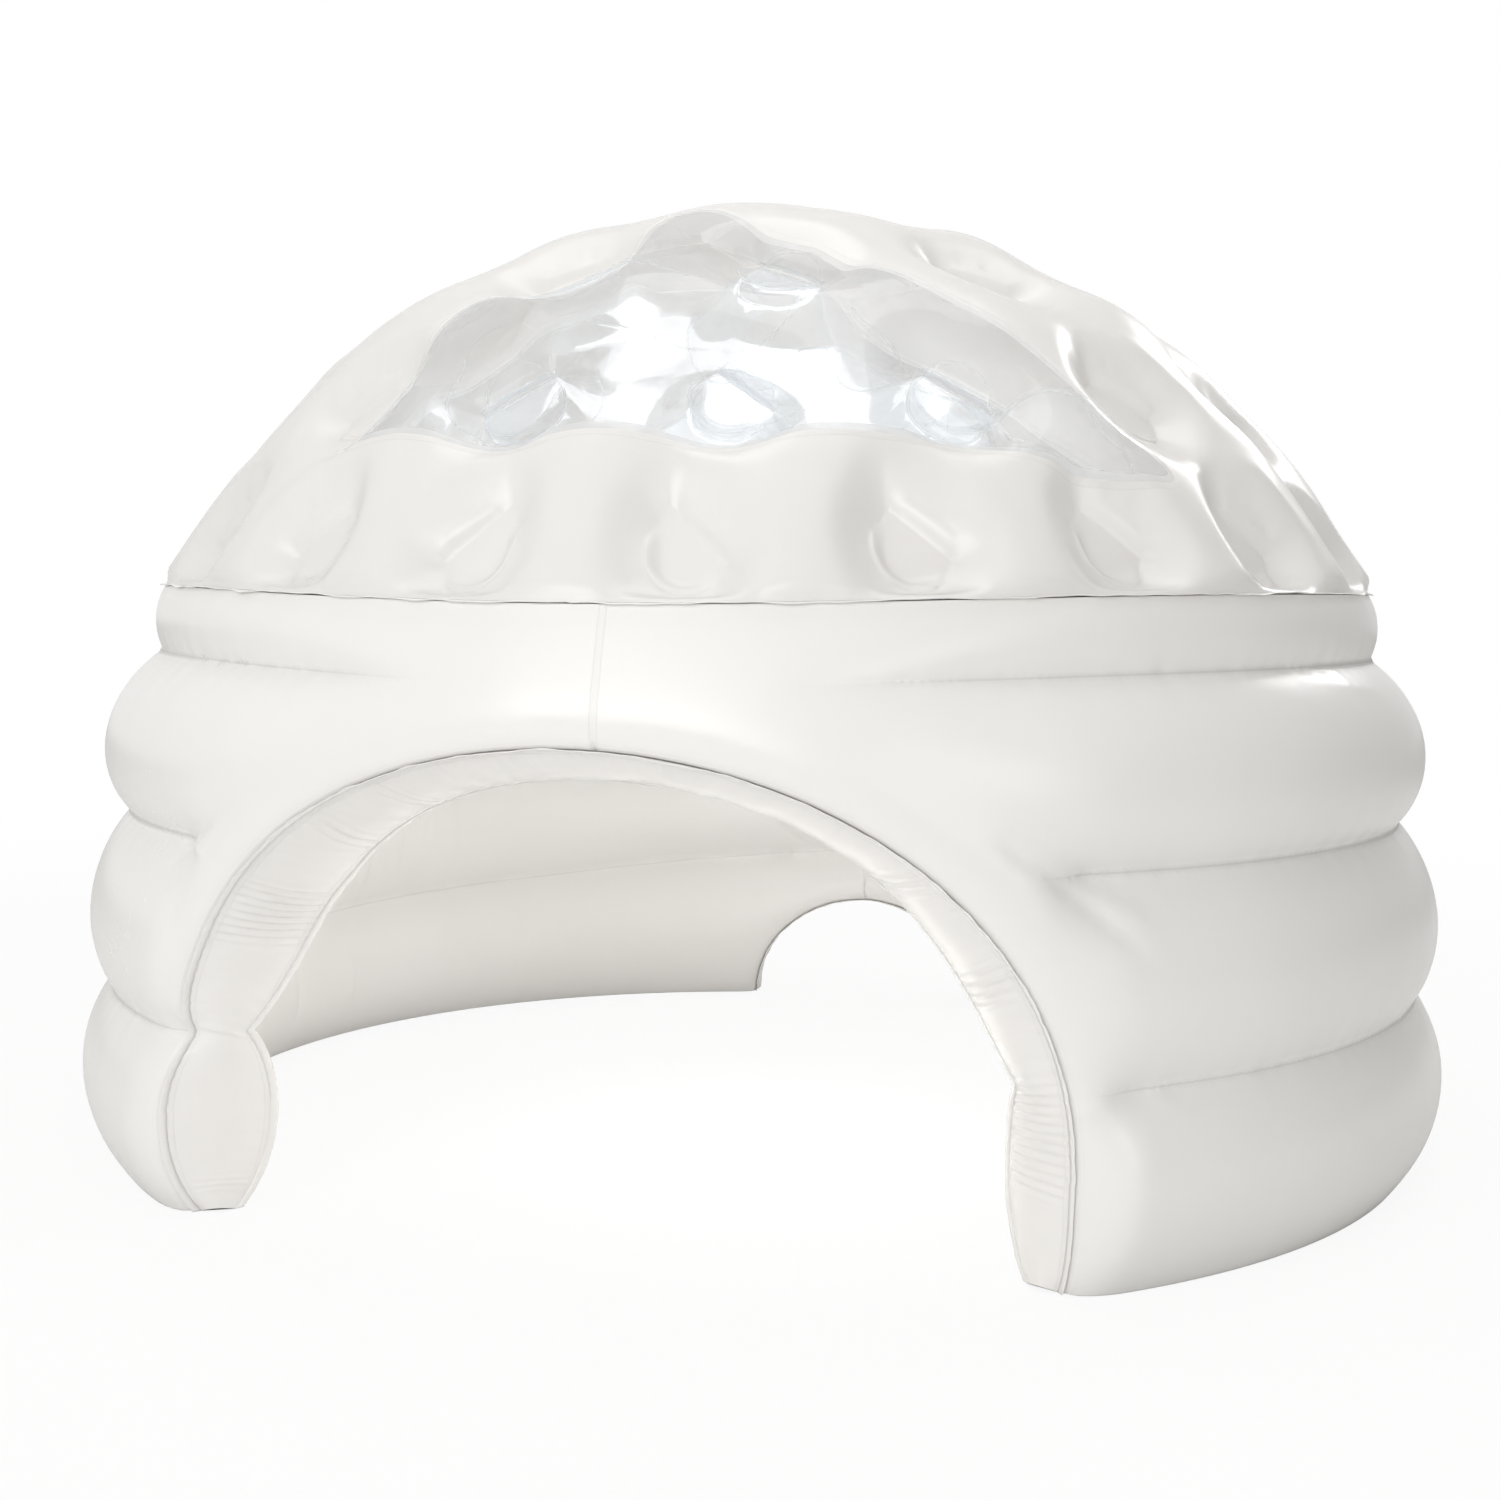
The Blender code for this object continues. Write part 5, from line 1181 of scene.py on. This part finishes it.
# Half sections of the turned pieces: radius and height over the skin
GROOVE = ((0.0008, FLANGE_TOP), (0.0003, 0.0012), (-0.0003, 0.0012), (-0.0008, FLANGE_TOP))
GROOVES = [(radius + step, height) for radius in reversed(FLANGE_GROOVES) for step, height in GROOVE]
SEAT = [(NECK_RADII[0], -0.0120), (NECK_RADII[1], -0.0120), (NECK_RADII[1], 0.0003), (FLANGE_RADIUS, 0.0003),
        (FLANGE_RADIUS, 0.0010), (FLANGE_RADIUS - 0.0015, FLANGE_TOP), *GROOVES, (NECK_RADII[1], FLANGE_TOP),
        (NECK_RADII[1], 0.0060), (NECK_RADII[0], 0.0060)]
SEAL_RING = [(0.0185, 0.0063), (0.0225, 0.0063), (0.0225, 0.0075), (0.0185, 0.0075)]
STOPPER = [(0.0021, -0.0103), (BODY_RADIUS, -0.0103), (BODY_RADIUS, 0.0078), (HEAD_RADIUS, 0.0078),
           (HEAD_RADIUS, HEAD_TOP), (0.0205, HEAD_TOP), (0.0200, 0.0100), (0.0130, 0.0100),
           (0.0125, HEAD_TOP), (PORT_RADII[1], HEAD_TOP), (PORT_RADII[1], 0.0185), (PORT_RADII[0], 0.0185),
           (PORT_RADII[0], -0.0083), (0.0021, -0.0083)]
GASKET = [(0.0, 0.0188), (PORT_RADII[1], 0.0188), (PORT_RADII[1], 0.0198), (0.0, 0.0198)]
CAP = [(0.0, 0.0201), (0.0118, 0.0201), (0.0118, 0.0112), (CAP_RADIUS, 0.0112), (CAP_RADIUS, 0.0217),
       (CAP_RADIUS - 0.0006, 0.0223), (CAP_NECK, 0.0223), (CAP_NECK, 0.0285), (KNOB_RADIUS, 0.0285),
       (KNOB_RADIUS, 0.0312), (KNOB_RADIUS - 0.0012, 0.0322), (0.0060, 0.0325), (0.0, 0.0322)]
HEAD_RING = [(0.0238, 0.0093), (0.0266, 0.0093), (0.0266, 0.0105), (0.0238, 0.0105)]
NECK_RING = [(0.0068, 0.0270), (0.0096, 0.0270), (0.0096, 0.0282), (0.0068, 0.0282)]
FLAP = [(0.0, -0.0114), (0.0078, -0.0114), (0.0078, -0.0106), (0.0016, -0.0106), (0.0016, -0.0057),
        (0.0030, -0.0057), (0.0030, -0.0042), (0.0, -0.0042)]


def moulded(name, colour, roughness, grain):
    """Moulded plastic or rubber with a fine moulded grain."""
    made, signal, shader, _ = finish(name)
    place = signal.node("ShaderNodeTexCoord", output="Object")
    speck = place.grain(grain, 3.0)
    cloud = place.grain(60.0, 2.0).step(0.3, 0.7)
    wire(cloud.mix(dyed(colour, 0.95), dyed(colour)), shader, "Base Color")
    wire(roughness + speck * 0.10, shader, "Roughness")
    wire(speck.relief(0.3, 0.0002), shader, "Normal")
    return made


def rounded(corners):
    """A closed profile with rounded corners; those on the axis stay sharp."""
    made = []
    for before, here, after in zip(np.roll(corners, 1, axis=0), corners, np.roll(corners, -1, axis=0)):
        if here[0] < 1e-6:
            made.append(here)
            continue
        start, end = (here + unit(other - here) * min(CORNER_RADIUS, 0.45 * math.dist(here, other))
                      for other in (before, after))
        made += [start * (1 - t) ** 2 + here * 2 * t * (1 - t) + end * t ** 2 for t in CORNER_STEPS]
    return np.array(made)


def lathed(corners, ribs=0):
    """Points and faces of a turned shape in its own frame, with grip ribs cut in its outer wall."""
    profile = rounded(np.array(corners))
    profile = np.concatenate([profile, profile[:1]])
    turns = whole_turn(8 * ribs if ribs else 96)[:, None]
    depth = RIB_DEPTH * (profile[:, 0] > RIBS_FROM) if ribs else 0.0
    radius = profile[:, 0] - depth * ease(0.5 - 0.8 * np.cos(ribs * turns))
    points = np.stack([radius * np.cos(turns), radius * np.sin(turns), profile[:, 1] + 0 * turns], -1)
    return points.reshape(-1, 3), grid_faces(len(turns), len(profile), True)


def strap():
    """The tether's strap: up beside the stopper's head, round a bend, and in to the cap's neck."""
    turns = np.linspace(0, math.pi / 2, 9)[1:-1]
    level = TETHER_LEVEL + TETHER_THICK / 2
    centre = np.array([STRAP_REACH - STRAP_BEND, level - STRAP_BEND])
    bend = centre + STRAP_BEND * circle(turns)
    path = np.array([(STRAP_REACH, STRAP_FOOT), (STRAP_REACH, centre[1]), *bend, (centre[0], level),
                     (STRAP_END, level)])
    along = unit(np.gradient(path, axis=0))
    across = np.stack([along[:, 1], -along[:, 0]], -1) * TETHER_THICK / 2
    edge = TETHER_WIDTH / 2
    half = ((edge - STRAP_BEVEL, 1), (edge, 0.6), (edge, -0.6), (edge - STRAP_BEVEL, -1))
    section = half + tuple((-width, share) for width, share in reversed(half))
    points = np.array([[(spot[0] + lift[0] * share, width, spot[1] + lift[1] * share)
                        for width, share in section] for spot, lift in zip(path, across)])
    count = len(section)
    faces = [(row * count + k, row * count + (k + 1) % count, (row + 1) * count + (k + 1) % count,
              (row + 1) * count + k) for row in range(len(path) - 1) for k in range(count)]
    faces += [tuple(range(count)), tuple(range((len(path) - 1) * count, len(path) * count))]
    return points.reshape(-1, 3), faces


def moulding(name, shapes, spot, material, body, node):
    """One moulded piece of a valve, from shapes in the valve's frame."""
    points, faces = [], []
    for shape_points, shape_faces in shapes:
        faces += [tuple(index + len(points) for index in face) for face in shape_faces]
        points += list(shape_points)
    made = piece(name, spot.origin + np.array(points) @ spot.axes, faces, material, [node], body)
    solid = bmesh.new()
    solid.from_mesh(made.data)
    bmesh.ops.remove_doubles(solid, verts=solid.verts, dist=1e-6)
    bmesh.ops.recalc_face_normals(solid, faces=solid.faces)
    solid.to_mesh(made.data)
    solid.free()
    made.data.set_sharp_from_angle(angle=math.radians(40))
    return made


def drill_air_holes(stopper, spot):
    """The holes through the stopper's floor, which the flap covers."""
    drills = bpy.data.meshes.new("air hole drills")
    solid = bmesh.new()
    seat = Matrix.Translation(spot.origin - (0.0, AXIS_FORWARD, 0.0)) @ Matrix(spot.axes.T.tolist()).to_4x4()
    for step in range(AIR_HOLES):
        turn = 2 * math.pi * (step + 0.5) / AIR_HOLES
        place = (AIR_HOLE_REACH * math.cos(turn), AIR_HOLE_REACH * math.sin(turn), AIR_HOLE_LEVEL)
        bmesh.ops.create_cone(solid, cap_ends=True, segments=24, radius1=AIR_HOLE_RADIUS,
                              radius2=AIR_HOLE_RADIUS, depth=0.005, matrix=seat @ Matrix.Translation(place))
    solid.to_mesh(drills)
    solid.free()
    cutter = bpy.data.objects.new("air hole drills", drills)
    bpy.context.collection.objects.link(cutter)
    cut = stopper.modifiers.new("air holes", "BOOLEAN")
    cut.operation = "DIFFERENCE"
    cut.solver = "EXACT"
    cut.object = cutter
    drilled = bpy.data.meshes.new_from_object(stopper.evaluated_get(bpy.context.evaluated_depsgraph_get()))
    stopper.modifiers.clear()
    stopper.data = drilled
    bpy.data.objects.remove(cutter, do_unlink=True)


VALVE_MATERIALS = {"white_plastic": moulded("white_valve_plastic", (0.84, 0.84, 0.82), 0.30, 900.0),
                   "grey_rubber": moulded("grey_valve_rubber", (0.30, 0.31, 0.32), 0.52, 1400.0)}
# Each moulded piece: its name, shapes, material, the valve's body that it rides on, and its CAD node
VALVE_PIECES = (("seat", [lathed(SEAT)], "white_plastic", "", "seat"),
                ("seal_washer", [lathed(SEAL_RING)], "grey_rubber", "seal", "seal_ring"),
                ("stopper_body", [lathed(STOPPER)], "white_plastic", "stopper", "stopper"),
                ("gasket_disc", [lathed(GASKET)], "grey_rubber", "gasket", "cap_gasket"),
                ("cap_with_knob", [lathed(CAP, GRIP_RIBS)], "white_plastic", "cap", "cap"),
                ("tether_strap", [lathed(HEAD_RING), lathed(NECK_RING), strap()], "white_plastic", "stopper",
                 "tether"),
                ("flap_disc", [lathed(FLAP)], "grey_rubber", "flap", "flap"))
for place, spot in (("wall", WALL_SPOT), ("dome", DOME_SPOT)):
    for name, shapes, slot, part, node in VALVE_PIECES:
        body = f"{place}_{part}" if part else "tent"
        made = moulding(f"{place}_{name}", shapes, spot, VALVE_MATERIALS[slot], body, f"{place}_valve_{node}")
        if node == "stopper":
            drill_air_holes(made, spot)

# Studio: a pale floor that keeps a faint shadow, a white surround, soft lamps and the camera. The camera was
# fitted to the tent's outlines in the photo.
AZIMUTH = math.radians(14)
PITCH = math.radians(4.24)
YAW = math.radians(-0.40)
ROLL = math.radians(0.60)
CAMERA_PLACE = (0.741, -2.973 - AXIS_FORWARD, 0.773)
FOCAL_PIXELS = 1996
PHOTO_PIXELS = 1500
SENSOR = 36
FLOOR_REACH = 40
FLOOR_LEVEL = -0.0006
floor_mesh = bpy.data.meshes.new("floor")
corners = [(FLOOR_REACH * p, FLOOR_REACH * q, FLOOR_LEVEL) for p, q in ((-1, -1), (1, -1), (1, 1), (-1, 1))]
floor_mesh.from_pydata(corners, [], [(0, 1, 2, 3)])
floor = bpy.data.objects.new("floor", floor_mesh)
bpy.context.collection.objects.link(floor)
floor_paint, signal, shader, output = finish("pale_floor")
seen = signal.node("ShaderNodeLightPath", output="Is Camera Ray")
place = signal.node("ShaderNodeTexCoord", output="Object")
grain = place.grain(3.0, 2.0)
far = signal.node("ShaderNodeVectorMath", {"operation": "LENGTH"}, {0: place}, "Value").step(1.4, 4.5)
wire(grain.mix((0.86, 0.86, 0.86, 1.0), (0.88, 0.88, 0.88, 1.0)), shader, "Base Color")
shader.inputs["Roughness"].default_value = 0.9
glow = signal.node("ShaderNodeEmission", (), {"Color": (1.0, 1.0, 1.0, 1.0), "Strength": 1.0})
wire(signal.blend(seen * (far * 0.10 + 0.90), light_of(shader), glow), output, "Surface")
floor_mesh.materials.append(floor_paint)

world = bpy.data.worlds.new("white surround")
bpy.context.scene.world = world
world.use_nodes = True
signal = Signal(world.node_tree)
back = world.node_tree.nodes["Background"]
camera_ray, glossy_ray, clear_ray = (signal.node("ShaderNodeLightPath", output=f"Is {kind} Ray")
                                     for kind in ("Camera", "Glossy", "Transmission"))
shown = camera_ray.most((glossy_ray * 0.8).most(clear_ray))
wire(shown.mix((1.0, 0.985, 0.962, 1.0), (1.0, 1.0, 1.0, 1.0)), back, "Color")
way = signal.node("ShaderNodeTexCoord", output="Generated")
rightwards = signal.node("ShaderNodeVectorMath", {"operation": "DOT_PRODUCT"}, {0: way, 1: (0.97, 0.24, 0.0)},
                         "Value")
dusk = rightwards.step(0.30, 0.95) * (1 - camera_ray) * 0.65
wire((0.59 + shown * 0.41) * (1 - dusk), back, "Strength")


def stood(name, data, place):
    """A lamp's or the camera's object at its place."""
    made = bpy.data.objects.new(name, data)
    bpy.context.collection.objects.link(made)
    made.location = place
    return made


def lamp(name, place, target, size, power, diffuse=1.0, specular=1.0):
    """A soft rectangular studio lamp."""
    light = bpy.data.lights.new(name, "AREA")
    light.shape = "RECTANGLE"
    light.size, light.size_y = size
    light.energy = power
    light.diffuse_factor = diffuse
    light.specular_factor = specular
    made = stood(name, light, place)
    made.rotation_euler = (Vector(target) - Vector(place)).to_track_quat("-Z", "Y").to_euler()


lamp("key lamp", (-0.7, -5.0, 2.2), (0.0, 0.0, 0.5), (3.2, 2.2), 76.0, specular=0.6)
lamp("top lamp", (0.0, 0.1, 4.2), (0.0, 0.0, 0.8), (3.0, 2.6), 42.0)
lamp("right lamp", (3.4, -4.2, 1.8), (0.3, -0.3, 0.5), (2.0, 2.0), 16.0, specular=0.3)
lamp("rear lamp", (2.2, 3.4, 3.0), (0.2, 0.0, 0.7), (1.5, 1.3), 32.0, diffuse=0.4)
inside = bpy.data.lights.new("light through the film", "POINT")
inside.energy = 8.0
inside.shadow_soft_size = 0.25
inside.color = (1.0, 0.98, 0.95)
inside_lamp = stood("light through the film", inside, (0.05, -0.25, 0.30))
inside_lamp.visible_camera = False
inside_lamp.visible_glossy = False
inside_lamp.visible_transmission = False

camera_data = bpy.data.cameras.new("camera")
camera_data.lens = FOCAL_PIXELS / PHOTO_PIXELS * SENSOR
camera_data.sensor_width = SENSOR
camera = stood("camera", camera_data, CAMERA_PLACE)
bpy.context.scene.camera = camera
forward = Vector((math.sin(YAW) * math.cos(PITCH), math.cos(YAW) * math.cos(PITCH), -math.sin(PITCH)))
right = Vector((math.cos(YAW), -math.sin(YAW), 0.0))
upward = right.cross(forward)
rolled_right = right * math.cos(ROLL) + upward * math.sin(ROLL)
rolled_up = upward * math.cos(ROLL) - right * math.sin(ROLL)
axes = Matrix((rolled_right, rolled_up, -forward)).transposed()
turned = Matrix.Rotation(AZIMUTH, 3, "Z") @ axes
camera.matrix_world = Matrix.Translation(CAMERA_PLACE) @ turned.to_4x4()
bpy.context.scene.view_settings.view_transform = "Standard"
